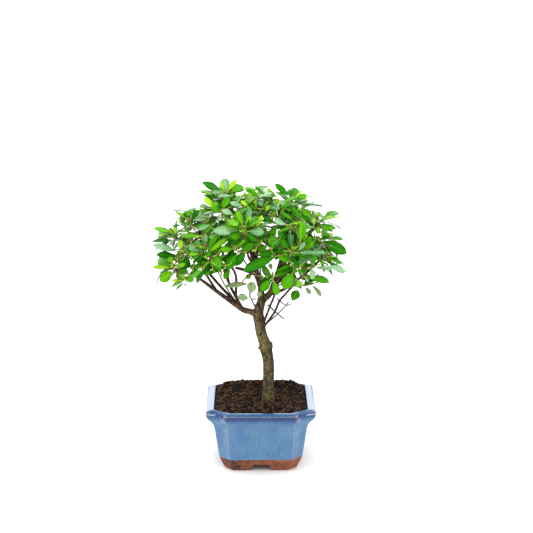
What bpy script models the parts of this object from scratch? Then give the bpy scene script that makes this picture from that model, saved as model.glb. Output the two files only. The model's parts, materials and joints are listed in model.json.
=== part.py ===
"""Azalea bonsai in its glazed square planter, as named solids.

Run with: blender --background --python part.py
Metres, +Z up. The plant is drawn about the middle of the planter's foot, with the front towards -Y,
and the whole is then shifted so that the origin is the middle of the underside of its box.
"""

import math
import random
from dataclasses import dataclass, field

import bmesh
import bpy
from mathutils import Matrix, Vector
from mathutils.bvhtree import BVHTree

MM = 0.001
GAP = 0.3 * MM
WELD = 0.01 * MM
GOLDEN_ANGLE = math.radians(137.5)
UP = Vector((0.0, 0.0, 1.0))

# Planter
POT_HALF = 65.0 * MM
POT_FLOOR = 14.0 * MM
POT_RECESS = 7.0 * MM
POT_FOOT_WALL = 9.0 * MM
DRAIN_RADIUS = 6.0 * MM
DRAIN_SIDES = 20
ARCH_TOP = 15.0 * MM
ARCH_BOTTOM = 31.0 * MM
ARCH_SHOULDER = 3.0 * MM
ARCH_SHOULDER_DROP = 1.2 * MM
ARCH_LIP = 0.6 * MM
ARCH_SPARE = 1.0 * MM
CORNER_ROUND = 1.8 * MM
CORNER_STEPS = 3
CORNER_MOST = 0.45

# Soil
SOIL_LEVEL = 77.5 * MM
SOIL_EDGE = 74.3 * MM
SOIL_COLLAR = 15.0 * MM
SOIL_RINGS = 5
SOIL_HALF = 54.0 * MM
SOIL_CALM_START = 0.6
SOIL_HEAP = 4.2 * MM
SOIL_HEAP_PLACE = 38.0 * MM
SOIL_HEAP_WIDTH = 15.0 * MM
SOIL_RIPPLE = 0.8 * MM
SOIL_WAVE = 21.0 * MM

# Trunk
TRUNK_STEP = 8.0 * MM
STUB_STEP = 5.0 * MM
ROOT_COUNT = 5
ROOT_SWING = 0.25
GROUND_CUT = 60.0 * MM

# Crown
CROWN_HEART = Vector((-10.0, 0.0, 225.0)) * MM
DOME_CENTRE = Vector((-14.0, 0.0, 232.0)) * MM
DOME_SIDE = 119.0 * MM
DOME_DEPTH = 102.0 * MM
DOME_TOP = 109.0 * MM
DOME_UNDER = 44.0 * MM
DOME_POWER = 2.1
CROWN_LOW = Vector((-130.0, -98.0, 0.0)) * MM
CROWN_HIGH = Vector((103.0, 98.0, 347.0)) * MM
CROWN_FLOOR = 212.0 * MM
LEADER_REACH = 34.0 * MM
LIMB_STEP = 11.0 * MM
LIMB_TAPER = 0.8
FOOT_PIECES = 3
ENTRY_DEPTH = 2.5 * MM
ENTRY_REACH = 33.0 * MM

# Shoots and leaves
SEED = 1843
SHOOTS_PER_MASS = 6
SHOOT_SPACING = 17.0 * MM
SHOOT_MARGIN = 4.0 * MM
SHOOT_PLACES = 260
SHELL_INNER = 0.62
SHELL_OUTER = 0.88
MASS_REACH = 44.0 * MM
SHOOT_OUT = 0.8
SHOOT_UP = 0.6
TWIG_RADIUS = 1.15 * MM
TWIG_TIP_RADIUS = 0.8 * MM
TWIG_PIECES = 2
TWIG_START_EASE = 0.35
TWIG_END_EASE = 0.3
TWIG_TURN_COST = 0.6
TWIG_JOINT_TRIES = 4
TWIG_TIP_LEEWAY = 9.0 * MM
STEM_PIECES = 4
LEAVES_PER_SHOOT = 5
LEAF_ROOT_STEP = 1.7 * MM
LEAF_ROOT_SINK = 0.4 * MM
LEAF_LOWEST_LEAN = math.radians(84.0)
LEAF_LEAN_RISE = math.radians(40.0)
LEAF_LEAN_STRAY = math.radians(6.0)
LEAF_TURN_STRAY = 0.12
LEAF_TURNS = (0.0, 0.45, -0.45, 0.9, -0.9, 1.4, -1.4)
LEAF_CUTS = (1.0, 0.86, 0.72)
LEAF_LENGTH = 35.0 * MM
LEAF_LENGTH_RANGE = (0.86, 1.08)
LEAF_WIDTH_SHARE = 0.53
LEAF_WIDEST_SHIFT = 0.08
LEAF_THICKNESS = 0.9 * MM
LEAF_FOLD = 1.6 * MM
LEAF_DROOP = 3.0 * MM
LEAF_BODY_START = 0.2
LEAF_TWIG_START = 0.48
LEAF_BODY_HALF = 0.42
CELL_MARGIN = 0.25 * MM
LIMB_CLEARANCE = 0.5 * MM


def mm(x, y, z):
    """A place in metres from millimetres."""
    return Vector((x, y, z)) * MM


@dataclass
class Limb:
    """A tapering limb: the share of its parent where it leaves, and its radii and places in mm."""

    name: str
    parent: str
    share: float
    radius: float
    tip_radius: float
    places: list
    path: list = field(default_factory=list)
    radii: list = field(default_factory=list)

    @property
    def tip(self):
        return self.path[-1]

    @property
    def heading(self):
        return (self.path[-1] - self.path[-2]).normalized()


@dataclass
class Mass:
    """A mass of foliage: the limb that carries it, its leading shoot and how it is filled."""

    name: str
    limb: str
    leader: Vector
    shoots: int = SHOOTS_PER_MASS
    leaves: int = LEAVES_PER_SHOOT
    leaf_scale: float = 1.0
    floor: float = CROWN_FLOOR
    trunk_height: float = 0.0


TRUNK_LINE = [
    (mm(9.2, -8.0, 77.8), 8.0),
    (mm(9.2, -8.0, 80.5), 7.6),
    (mm(9.2, -8.0, 88.0), 7.0),
    (mm(9.6, -7.0, 109.0), 6.6),
    (mm(9.6, -6.0, 119.0), 6.65),
    (mm(8.4, -5.0, 131.0), 6.75),
    (mm(6.1, -4.0, 141.0), 7.4),
    (mm(4.9, -4.0, 147.0), 7.0),
    (mm(2.5, -3.0, 153.0), 6.5),
    (mm(0.4, -2.0, 161.0), 6.2),
    (mm(-0.8, -1.0, 171.0), 6.8),
    (mm(-2.6, 0.0, 180.0), 6.6),
    (mm(-1.6, 0.0, 188.0), 6.0),
    (mm(1.6, 0.0, 198.0), 5.0),
]

# A root's line and radius, in mm out from the trunk's middle and up from the ground.
ROOT_LINE = [
    (3.2, 15.0, 2.6),
    (5.6, 5.0, 2.7),
    (8.3, 0.0, 2.4),
    (11.5, -4.0, 2.2),
]

# A knob where a limb was cut off, a small stub and the cut leader: where, which way, length and radii.
TRUNK_STUBS = [
    (mm(6.0, -4.5, 145.0), (1.0, -0.25, 0.15), 9.3, 4.2, 2.6),
    (mm(6.0, -4.0, 139.0), (-1.0, -0.2, 0.25), 9.2, 2.4, 1.5),
    (mm(-1.5, -1.5, 186.0), (-0.35, -0.25, 0.9), 10.5, 2.8, 1.9),
]

LIMBS = [
    Limb("bough_left", "trunk", 0.86, 4.3, 1.6,
         [(-11, 0, 184), (-21, -1, 187.5), (-33, -4, 197), (-57, -9, 216), (-76, -12, 231)]),
    Limb("bough_left_upper", "bough_left", 0.3, 2.0, 1.4,
         [(-46, 4, 213), (-60, 6, 229), (-76, 4, 247)]),
    Limb("bough_left_upright", "bough_left", 0.24, 1.9, 1.4,
         [(-28.5, -6, 205), (-29, -12, 232), (-38, -27, 250)]),
    Limb("bough_left_inner", "bough_left", 0.28, 1.9, 1.4,
         [(-34, 4, 211), (-42, 8, 230), (-50, 8, 250)]),
    Limb("bough_centre", "trunk", 0.97, 3.5, 1.6,
         [(1.5, 1.5, 208), (-3, 2, 230), (-9, 0, 252), (-20, -4, 276)]),
    Limb("bough_right", "trunk", 0.99, 4.2, 1.6,
         [(10.5, 0, 206), (17, 0, 222), (24, 2, 245), (30, 3, 270)]),
    Limb("bough_top", "bough_centre", 0.38, 1.9, 1.4,
         [(-3, -5, 262), (0, -7, 280)]),
    Limb("bough_front", "bough_centre", 0.27, 1.9, 1.4,
         [(-6, -14, 243), (-14, -30, 259)]),
    Limb("bough_back", "bough_centre", 0.32, 1.9, 1.4,
         [(-7, 16, 250), (-6, 29, 266)]),
    Limb("bough_front_right", "bough_right", 0.28, 1.9, 1.4,
         [(25, -17, 233), (31, -35, 247)]),
    Limb("bough_right_upper", "bough_right", 0.46, 2.1, 1.4,
         [(40, 4, 257), (55, 2, 275)]),
    Limb("bough_right_side", "bough_right", 0.13, 2.2, 1.4,
         [(28, -2, 212.5), (48, -5, 228), (66, -9, 246)]),
    Limb("bough_back_right", "bough_right", 0.35, 1.9, 1.4,
         [(31, 18, 250), (39, 35, 266)]),
    Limb("bough_back_right_low", "bough_right", 0.17, 2.0, 1.4,
         [(24, 18, 218), (43, 42, 234)]),
    Limb("bough_back_low", "trunk", 0.96, 2.4, 1.4,
         [(-1, 16, 208), (-8, 42, 226), (-11, 63, 241)]),
    Limb("bough_back_left", "bough_left_inner", 0.36, 1.6, 1.4,
         [(-42, 24, 241), (-50, 36, 263)]),
    Limb("bough_back_left_low", "bough_left", 0.42, 1.9, 1.4,
         [(-50, 8, 206), (-66, 31, 224)]),
    Limb("whip_front", "trunk", 0.755, 1.5, 1.3,
         [(10.5, -10, 192), (15, -18, 206), (17, -38, 222)]),
    Limb("whip_right", "trunk", 0.735, 1.5, 1.3,
         [(17, -9, 187), (22.5, -12, 201)]),
]

MASSES = [
    Mass("leaves_crown_peak", "bough_centre", mm(-41, -10, 330)),
    Mass("leaves_crown_middle", "bough_top", mm(-3, -7, 325), 7),
    Mass("leaves_crown_right", "bough_right", mm(37, 0, 318)),
    Mass("leaves_back_top", "bough_back", mm(-6, 44, 312), 7),
    Mass("leaves_back_top_right", "bough_back_right", mm(47, 54, 293)),
    Mass("leaves_back_top_left", "bough_back_left", mm(-58, 50, 293)),
    Mass("leaves_left_upper", "bough_left_inner", mm(-80, -5, 299)),
    Mass("leaves_front", "bough_front", mm(-19, -60, 298)),
    Mass("leaves_front_left", "bough_left_upright", mm(-60, -55, 275)),
    Mass("leaves_front_right", "bough_front_right", mm(35, -60, 272)),
    Mass("leaves_right_upper", "bough_right_upper", mm(76, 0, 301)),
    Mass("leaves_right_side", "bough_right_side", mm(82, -14, 264)),
    Mass("leaves_left_low", "bough_left", mm(-102, -12, 239)),
    Mass("leaves_left_side", "bough_left_upper", mm(-100, 0, 276)),
    Mass("leaves_front_low", "whip_front", mm(14, -58, 242), 4),
    Mass("leaves_right_low", "whip_right", mm(46, -22, 231), 4, floor=202.0 * MM),
    Mass("leaves_back_left_low", "bough_back_left_low", mm(-83, 55, 250)),
    Mass("leaves_back_low", "bough_back_low", mm(-12, 86, 260)),
    Mass("leaves_back_right_low", "bough_back_right_low", mm(65, 64, 254)),
    Mass("leaves_fork_shoot", "trunk", mm(-13, -16, 207), shoots=1, leaves=6, leaf_scale=0.66,
         floor=180.0 * MM, trunk_height=186.0 * MM),
    Mass("leaves_lone_whip", "trunk", mm(33, -7, 197), shoots=1, leaves=1, leaf_scale=0.52,
         floor=160.0 * MM, trunk_height=167.0 * MM),
]


def clear_scene():
    """Empties the scene of its startup objects."""
    for obj in list(bpy.data.objects):
        bpy.data.objects.remove(obj, do_unlink=True)


def collection(name, hidden=False):
    """A new collection in the scene."""
    made = bpy.data.collections.new(name)
    made.hide_render = hidden
    bpy.context.scene.collection.children.link(made)
    return made


def linear(hex_colour):
    """A linear RGBA colour from an sRGB hex string."""
    channels = [int(hex_colour[i:i + 2], 16) / 255 for i in (1, 3, 5)]
    curve = [c / 12.92 if c <= 0.04045 else ((c + 0.055) / 1.055) ** 2.4 for c in channels]
    return (*curve, 1.0)


def material(name, hex_colour, roughness, metallic=0.0):
    """A Principled material, made once for each name."""
    found = bpy.data.materials.get(name)
    if found:
        return found
    made = bpy.data.materials.new(name)
    made.use_nodes = True
    shader = made.node_tree.nodes["Principled BSDF"]
    shader.inputs["Base Color"].default_value = linear(hex_colour)
    shader.inputs["Roughness"].default_value = roughness
    shader.inputs["Metallic"].default_value = metallic
    return made


def mesh_object(name, mesh, home, matrix=None):
    """An object for a mesh, in its collection."""
    obj = bpy.data.objects.new(name, mesh)
    if matrix is not None:
        obj.matrix_world = matrix
    home.objects.link(obj)
    return obj


def apply_modifiers(obj):
    """Makes an object's evaluated mesh its own mesh, and drops its modifiers."""
    bpy.context.view_layer.update()
    evaluated = obj.evaluated_get(bpy.context.evaluated_depsgraph_get())
    mesh = bpy.data.meshes.new_from_object(evaluated)
    obj.modifiers.clear()
    old = obj.data
    obj.data = mesh
    bpy.data.meshes.remove(old)
    mesh.name = obj.name


def boolean(obj, operation, other=None, others=None, solver="EXACT"):
    """Applies one Boolean with an object or with a collection."""
    modifier = obj.modifiers.new(operation.title(), "BOOLEAN")
    modifier.operation = operation
    modifier.solver = solver
    if others:
        modifier.operand_type = "COLLECTION"
        modifier.collection = others
    else:
        modifier.object = other
    apply_modifiers(obj)


def signed_volume(faces):
    """Six times the volume inside some triangles, below zero where they face inwards."""
    return sum(f.verts[0].co.dot(f.verts[1].co.cross(f.verts[2].co)) for f in faces)


def keep_largest_shell(obj):
    """Drops loose scraps and fills sealed hollows: only the largest closed shell of the mesh stays."""
    mesh = bmesh.new()
    mesh.from_mesh(obj.data)
    bmesh.ops.triangulate(mesh, faces=mesh.faces)
    unseen = set(mesh.faces)
    shells = []
    while unseen:
        stack = [unseen.pop()]
        shell = []
        while stack:
            face = stack.pop()
            shell.append(face)
            for edge in face.edges:
                for other in edge.link_faces:
                    if other in unseen:
                        unseen.remove(other)
                        stack.append(other)
        shells.append(shell)
    shells.sort(key=signed_volume)
    for shell in shells[:-1]:
        bmesh.ops.delete(mesh, geom=shell, context="FACES")
    mesh.to_mesh(obj.data)
    mesh.free()


def smooth_line(knots, radii, step):
    """A smooth line through some places, with a point about every step and the radii eased along it."""
    line, widths = [], []
    for i in range(len(knots) - 1):
        before = knots[max(i - 1, 0)]
        start, end = knots[i], knots[i + 1]
        after = knots[min(i + 2, len(knots) - 1)]
        pieces = max(1, round((end - start).length / step))
        for k in range(pieces):
            t = k / pieces
            a = (end - before) * 0.5
            b = (after - start) * 0.5
            place = (start * (2 * t**3 - 3 * t**2 + 1) + a * (t**3 - 2 * t**2 + t)
                     + end * (3 * t**2 - 2 * t**3) + b * (t**3 - t**2))
            line.append(place)
            widths.append(radii[i] + (radii[i + 1] - radii[i]) * t)
    line.append(knots[-1])
    widths.append(radii[-1])
    return line, widths


def tube(name, path, radii, home, resolution=2, swell=0.0, profile=None):
    """A tube along a path as a mesh, from a curve with a bevel and filled caps. Radii are in mm."""
    curve = bpy.data.curves.new(name, "CURVE")
    curve.dimensions = "3D"
    curve.use_fill_caps = True
    if profile:
        curve.bevel_mode = "OBJECT"
        curve.bevel_object = profile
    else:
        curve.bevel_depth = MM
        curve.bevel_resolution = resolution
    spline = curve.splines.new("POLY")
    spline.points.add(len(path) - 1)
    for point, place, radius in zip(spline.points, path, radii):
        point.co = (*place, 1.0)
        point.radius = radius + swell / MM
    guide = bpy.data.objects.new(name + "_line", curve)
    home.objects.link(guide)
    bpy.context.view_layer.update()
    evaluated = guide.evaluated_get(bpy.context.evaluated_depsgraph_get())
    mesh = bpy.data.meshes.new_from_object(evaluated)
    mesh.name = name
    matrix = guide.matrix_world.copy()
    bpy.data.objects.remove(guide)
    bpy.data.curves.remove(curve)
    welded = bmesh.new()
    welded.from_mesh(mesh)
    bmesh.ops.remove_doubles(welded, verts=welded.verts, dist=WELD)
    bmesh.ops.recalc_face_normals(welded, faces=welded.faces)
    welded.to_mesh(mesh)
    welded.free()
    return mesh_object(name, mesh, home, matrix)


def loft(name, rings, home):
    """A closed solid through rings of as many points each, from the first cap to the last."""
    mesh = bmesh.new()
    rows = [[mesh.verts.new(place) for place in ring] for ring in rings]
    count = len(rings[0])
    for low, high in zip(rows, rows[1:]):
        for i in range(count):
            j = (i + 1) % count
            mesh.faces.new((low[i], low[j], high[j], high[i]))
    mesh.faces.new(rows[0][::-1])
    mesh.faces.new(rows[-1])
    bmesh.ops.recalc_face_normals(mesh, faces=mesh.faces)
    data = bpy.data.meshes.new(name)
    mesh.to_mesh(data)
    mesh.free()
    return mesh_object(name, data, home)


def rounded(corners, radius):
    """An outline with each of its corners rounded, as flat points."""
    points = []
    for i, corner in enumerate(corners):
        before = corners[i - 1] - corner
        after = corners[(i + 1) % len(corners)] - corner
        start = corner + before * min(radius / before.length, CORNER_MOST)
        end = corner + after * min(radius / after.length, CORNER_MOST)
        for k in range(CORNER_STEPS):
            t = k / (CORNER_STEPS - 1)
            points.append(start * (1 - t) ** 2 + corner * 2 * t * (1 - t) + end * t**2)
    return points


def notched_ring(z, half, notch_x, notch_y, groove, radius=CORNER_ROUND):
    """The planter's outline at a height: a square whose corners step in to a groove."""
    corner = [
        Vector((half, half - notch_y)),
        Vector((half - groove * notch_x, half - groove * notch_y)),
        Vector((half - notch_x, half)),
    ]
    outline = []
    for sign_x, sign_y in ((1, 1), (-1, 1), (-1, -1), (1, -1)):
        turned = [Vector((p.x * sign_x, p.y * sign_y)) for p in corner]
        outline += turned if sign_x * sign_y > 0 else turned[::-1]
    return [Vector((p.x, p.y, z)) for p in rounded(outline, radius)]


# Height, half width, notch along X, notch along Y, all in mm, and how deep the groove goes into the notch.
OUTER_LEVELS = [
    (0.0, 42.6, 10.0, 10.4, 0.55),
    (1.0, 43.6, 10.2, 10.7, 0.55),
    (15.9, 49.5, 11.8, 11.3, 0.56),
    (51.8, 54.8, 15.2, 13.2, 0.64),
    (56.5, 56.3, 16.6, 13.9, 0.66),
    (61.0, 59.1, 19.0, 15.1, 0.69),
    (65.4, 62.7, 21.7, 16.6, 0.71),
    (70.3, 65.0, 23.5, 17.5, 0.73),
    (74.8, 65.0, 23.5, 17.5, 0.73),
    (76.3, 62.0, 22.5, 16.4, 0.69),
    (77.2, 57.8, 20.7, 14.0, 0.55),
    (76.8, 55.7, 19.9, 12.9, 0.48),
]
INNER_LEVELS = [
    (75.4, 54.7, 19.5, 12.5, 0.46),
    (56.0, 49.6, 16.8, 12.0, 0.46),
    (14.0, 41.8, 13.0, 12.0, 0.46),
]


def pot_ring(level, shrink=0.0):
    """One outline of the planter, or of the soil in it, from a row of the levels."""
    z, half, notch_x, notch_y, groove = level
    return notched_ring(z * MM, half * MM - shrink, notch_x * MM, notch_y * MM, groove)


def inner_level(z):
    """The row of the inner wall at a height in mm, read between its levels."""
    for high, low in zip(INNER_LEVELS, INNER_LEVELS[1:]):
        if z >= low[0]:
            t = (z - low[0]) / (high[0] - low[0])
            return tuple(a + (b - a) * t for a, b in zip(low, high))
    return INNER_LEVELS[-1]


def arch_cutter(name, home, along_x):
    """A long bar with the section of the opening between two feet."""
    half_top, half_bottom = ARCH_TOP / 2, ARCH_BOTTOM / 2
    side = [
        (half_bottom + ARCH_SPARE, -ARCH_SPARE),
        (half_bottom, ARCH_LIP),
        (half_top + ARCH_SHOULDER, POT_RECESS - ARCH_SHOULDER_DROP),
        (half_top, POT_RECESS),
    ]
    section = side + [(-across, height) for across, height in side[::-1]]
    rings = []
    for far in (-POT_HALF, POT_HALF):
        if along_x:
            rings.append([Vector((far, across, height)) for across, height in section])
        else:
            rings.append([Vector((across, far, height)) for across, height in section])
    return loft(name, rings, home)


def make_pot(parts, cutters):
    """The planter: a notched square bowl on four corner feet, with a drain hole."""
    rings = [pot_ring(level) for level in OUTER_LEVELS + INNER_LEVELS]
    pot = loft("pot", rings, parts)
    size = 2 * (OUTER_LEVELS[0][1] * MM - POT_FOOT_WALL)
    bpy.ops.mesh.primitive_cube_add(size=1.0)
    recess = bpy.context.object
    recess.name = "recess_cutter"
    recess.scale = (size, size, 2 * POT_RECESS)
    bpy.ops.mesh.primitive_cylinder_add(vertices=DRAIN_SIDES, radius=DRAIN_RADIUS, depth=4 * POT_FLOOR)
    drain = bpy.context.object
    drain.name = "drain_cutter"
    made = [recess, drain]
    for obj in made:
        for home in list(obj.users_collection):
            home.objects.unlink(obj)
        cutters.objects.link(obj)
    made.append(arch_cutter("arch_cutter_side", cutters, True))
    made.append(arch_cutter("arch_cutter_front", cutters, False))
    for cutter in made:
        boolean(pot, "DIFFERENCE", cutter)
    finish(pot, material("glazed_stoneware_blue", "#5F8DBB", 0.18), 35)


def soil_height(place):
    """The height of the soil at a place: level about the trunk, heaped at the back, with slow ripples."""
    edge = max(abs(place.x), abs(place.y)) / SOIL_HALF
    inside = max(0.0, 1.0 - edge**6)
    rise = (SOIL_LEVEL - SOIL_EDGE) * (1.0 - edge**4)
    heap = SOIL_HEAP * math.exp(-(((place.y - SOIL_HEAP_PLACE) / SOIL_HEAP_WIDTH) ** 2))
    turn = 2 * math.pi / SOIL_WAVE
    bend = math.sin(place.y * turn / 2)
    ripple = SOIL_RIPPLE * math.sin(place.x * turn + bend) * math.sin(place.y * turn)
    return SOIL_EDGE + rise + (heap + ripple) * inside


def make_soil(parts):
    """The soil: it fills the planter and closes in on a level collar round the trunk's foot."""
    rings = []
    for z in ((POT_FLOOR + GAP) / MM, INNER_LEVELS[1][0], SOIL_EDGE / MM):
        rings.append(pot_ring((z, *inner_level(z)[1:]), GAP))
    edge = rings[-1]
    foot = TRUNK_LINE[0][0]
    for k in range(1, SOIL_RINGS + 1):
        t = k / SOIL_RINGS
        ring = []
        for place in edge:
            away = Vector((place.x - foot.x, place.y - foot.y))
            collar = Vector((foot.x, foot.y)) + away.normalized() * SOIL_COLLAR
            flat = Vector((place.x, place.y)).lerp(collar, t)
            level = soil_height(flat)
            calm = max(0.0, (t - SOIL_CALM_START) / (1 - SOIL_CALM_START))
            ring.append(Vector((flat.x, flat.y, level + (SOIL_LEVEL - level) * calm)))
        rings.append(ring)
    soil = loft("soil", rings, parts)
    finish(soil, material("peat_soil", "#35251A", 0.95), 60)


def finish(obj, surface, sharp_angle):
    """Gives an object its material and smooth shading up to an edge angle."""
    obj.data.materials.clear()
    obj.data.materials.append(surface)
    obj.data.shade_smooth()
    obj.data.set_sharp_from_angle(angle=math.radians(sharp_angle))


def trunk_limb():
    """The trunk as a limb that the boughs leave from."""
    trunk = Limb("trunk", "", 0.0, TRUNK_LINE[0][1], TRUNK_LINE[-1][1], [])
    trunk.path, trunk.radii = smooth_line([p for p, _ in TRUNK_LINE], [r for _, r in TRUNK_LINE], TRUNK_STEP)
    return trunk


def make_trunk(trunk, parts, cutters):
    """The trunk: its tapering stem, the roots that spread at its foot and the stubs of cut limbs."""
    stem = tube("trunk", trunk.path, trunk.radii, parts, resolution=4)
    extras = collection("trunk_extras")
    foot = TRUNK_LINE[0][0]
    for i in range(ROOT_COUNT):
        angle = 2 * math.pi * (i + ROOT_SWING * math.sin(5.0 * i) + 0.4) / ROOT_COUNT
        out = Vector((math.cos(angle), math.sin(angle), 0.0))
        knots = [foot + (out * away + UP * height) * MM for away, height, _ in ROOT_LINE]
        line, widths = smooth_line(knots, [radius for _, _, radius in ROOT_LINE], STUB_STEP)
        tube(f"root_{i}", line, widths, extras, resolution=1)
    for i, (place, way, length, wide, narrow) in enumerate(TRUNK_STUBS):
        way = Vector(way).normalized()
        line, widths = smooth_line([place, place + way * length * MM], [wide, narrow], STUB_STEP)
        tube(f"stub_{i}", line, widths, extras, resolution=1)
    fuse(stem, extras)
    bpy.ops.mesh.primitive_cube_add(size=GROUND_CUT, location=foot - UP * GROUND_CUT / 2)
    ground = bpy.context.object
    ground.name = "ground_cutter"
    for home in list(ground.users_collection):
        home.objects.unlink(ground)
    cutters.objects.link(ground)
    boolean(stem, "DIFFERENCE", ground)
    keep_largest_shell(stem)
    finish(stem, material("azalea_bark", "#6A6247", 0.85), 50)


def fuse(obj, extras):
    """Joins every object of a collection to one by a single union, then removes them."""
    boolean(obj, "UNION", others=extras)
    for extra in list(extras.objects):
        bpy.data.objects.remove(extra)
    bpy.data.collections.remove(extras)
    keep_largest_shell(obj)


def route_limbs(trunk):
    """Works out each limb's line from its parent's, in order, and returns all limbs by name."""
    limbs = {"trunk": trunk}
    carried = {mass.limb: mass for mass in MASSES}
    for limb in LIMBS:
        parent = limbs[limb.parent]
        mass = carried[limb.name]
        start = parent.path[round(limb.share * (len(parent.path) - 1))]
        knots = [start] + [mm(*place) for place in limb.places] + [mass.leader]
        line, _ = smooth_line(knots, [0.0] * len(knots), LIMB_STEP)
        last = next(i for i, place in enumerate(line) if enters(place, mass))
        limb.path = line[:last + 1]
        taper = limb.tip_radius - limb.radius
        limb.radii = [limb.radius + taper * (i / last) ** LIMB_TAPER for i in range(last + 1)]
        limbs[limb.name] = limb
    return limbs


def enters(place, mass):
    """Whether a limb's line has come into its mass, where the limb ends and the mass's stem begins."""
    return room_in_cell(place, mass) > ENTRY_DEPTH and (place - mass.leader).length < ENTRY_REACH


def make_limbs(limbs, parts, cutters):
    """The boughs: each is a tube whose foot is cut clear of its parent and of the limbs beside it."""
    bark = material("azalea_bough_bark", "#6B4C38", 0.8)
    done = [limbs["trunk"]]
    for limb in LIMBS:
        bough = tube(limb.name, limb.path, limb.radii, parts, resolution=1)
        for other in done:
            if other.name == limb.parent or starts_beside(limb, other):
                cutter = tube(other.name + "_clear", other.path, other.radii, cutters, 5, swell=GAP)
                boolean(bough, "DIFFERENCE", cutter)
                bpy.data.objects.remove(cutter)
        keep_largest_shell(bough)
        finish(bough, bark, 50)
        done.append(limb)


def starts_beside(limb, other):
    """Whether a limb's foot comes close enough to another limb to touch it."""
    for a, b in zip(limb.path[:FOOT_PIECES], limb.path[1:]):
        for i in range(len(other.path) - 1):
            reach = (limb.radius + other.radii[i]) * MM + GAP
            if segment_distance(a, b, other.path[i], other.path[i + 1]) < reach:
                return True
    return False


def dome_share(place):
    """How far out a place lies in the crown's dome: 0 at its centre, 1 on its outside."""
    away = place - DOME_CENTRE
    height = DOME_TOP if away.z > 0 else DOME_UNDER
    shares = (abs(away.x) / DOME_SIDE, abs(away.y) / DOME_DEPTH, abs(away.z) / height)
    return sum(s**DOME_POWER for s in shares) ** (1 / DOME_POWER)


def in_crown(place, mass):
    """Whether a place lies in the crown's box, and in its dome or near the mass's leading shoot."""
    for axis in range(3):
        if not CROWN_LOW[axis] <= place[axis] <= CROWN_HIGH[axis]:
            return False
    if place.z < mass.floor:
        return False
    return dome_share(place) <= 1.0 or (place - mass.leader).length <= LEADER_REACH


def room_in_cell(place, mass):
    """How far inside its mass's own space a place lies: the planes halfway to the other leaders bound it."""
    room = 1.0
    for other in MASSES:
        if other is not mass:
            between = other.leader - mass.leader
            middle = (other.leader + mass.leader) / 2
            room = min(room, (middle - place).dot(between) / between.length)
    return room


def segment_distance(a, b, c, d):
    """The least distance between the segments ab and cd."""
    u, v, w = b - a, d - c, a - c
    uu, uv, vv, uw, vw = u.dot(u), u.dot(v), v.dot(v), u.dot(w), v.dot(w)
    spread = uu * vv - uv * uv
    s = 0.0 if spread < 1e-18 else min(1.0, max(0.0, (uv * vw - vv * uw) / spread))
    t = min(1.0, max(0.0, (uv * s + vw) / vv))
    s = min(1.0, max(0.0, (uv * t - uw) / uu))
    return (w + u * s - v * t).length


def clear_of_limbs(start, end, thickness, limbs, skip_near=None):
    """Whether a straight piece misses every limb. Near its own bough's tip it may be closer."""
    for limb in limbs.values():
        for i in range(len(limb.path) - 1):
            a, b = limb.path[i], limb.path[i + 1]
            if skip_near is not None and (b - skip_near).length < TWIG_TIP_LEEWAY:
                continue
            wide = max(limb.radii[i], limb.radii[i + 1]) * MM
            if segment_distance(start, end, a, b) < wide + thickness + LIMB_CLEARANCE:
                return False
    return True


def shoot_axis(tip):
    """The way a shoot points: outwards from the crown's heart and up."""
    return ((tip - CROWN_HEART).normalized() * SHOOT_OUT + UP * SHOOT_UP).normalized()


def spread_shoots(mass, draw):
    """The mass's shoot tips: its leader, then the free places furthest from those taken."""
    places = []
    for _ in range(SHOOT_PLACES):
        step = Vector([draw.uniform(-1.0, 1.0) for _ in range(3)]) * MASS_REACH
        place = mass.leader + step
        if room_in_cell(place, mass) > SHOOT_MARGIN and SHELL_INNER < dome_share(place) < SHELL_OUTER:
            places.append(place)
    tips = [mass.leader]
    while places and len(tips) < mass.shoots:
        best = max(places, key=lambda p: min((p - tip).length for tip in tips))
        if min((best - tip).length for tip in tips) < SHOOT_SPACING:
            break
        tips.append(best)
    return tips


def bent_line(start, heading, end, axis, pieces):
    """A twig's line: it leaves along its heading and ends along the shoot's axis."""
    reach = (end - start).length
    first = start + heading * reach * TWIG_START_EASE
    second = end - axis * reach * TWIG_END_EASE
    line = []
    for k in range(pieces + 1):
        t = k / pieces
        line.append(start * (1 - t) ** 3 + first * 3 * t * (1 - t) ** 2
                    + second * 3 * t**2 * (1 - t) + end * t**3)
    return line


def line_is_free(line, mass, limbs, skip_near):
    """Whether a twig's line keeps to its mass's space and misses the limbs."""
    for a, b in zip(line, line[1:]):
        if room_in_cell(b, mass) < TWIG_RADIUS + CELL_MARGIN:
            return False
        if not clear_of_limbs(a, b, TWIG_RADIUS, limbs, skip_near):
            return False
    return True


def grow_twigs(mass, limbs, draw):
    """The mass's twigs as lines: a stem to the leading shoot, then the others from the nearest twig."""
    limb = limbs[mass.limb]
    if mass.trunk_height:
        foot = min(range(len(limb.path)), key=lambda i: abs(limb.path[i].z - mass.trunk_height))
        axis_place = limb.path[foot]
        heading = (mass.leader - axis_place)
        heading.z = 0.0
        heading.normalize()
        start = axis_place + heading * (limb.radii[foot] * MM + 2 * GAP)
        skip_near = None
    else:
        heading = limb.heading
        start = limb.tip + heading * GAP
        skip_near = limb.tip
    tips = spread_shoots(mass, draw)
    twigs = [bent_line(start, heading, tips[0], shoot_axis(tips[0]), STEM_PIECES)]
    for tip in tips[1:]:
        joints = []
        for line in twigs:
            for i in range(1, len(line) - 1):
                way = (line[i + 1] - line[i - 1]).normalized()
                reach = tip - line[i]
                cost = reach.length * (1 + TWIG_TURN_COST * (1 - way.dot(reach.normalized())))
                joints.append((cost, line[i], way))
        joints.sort(key=lambda joint: joint[0])
        for _, place, way in joints[:TWIG_JOINT_TRIES]:
            line = bent_line(place, way, tip, shoot_axis(tip), TWIG_PIECES)
            if line_is_free(line[1:], mass, limbs, skip_near):
                twigs.append(line)
                break
    return twigs


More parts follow.
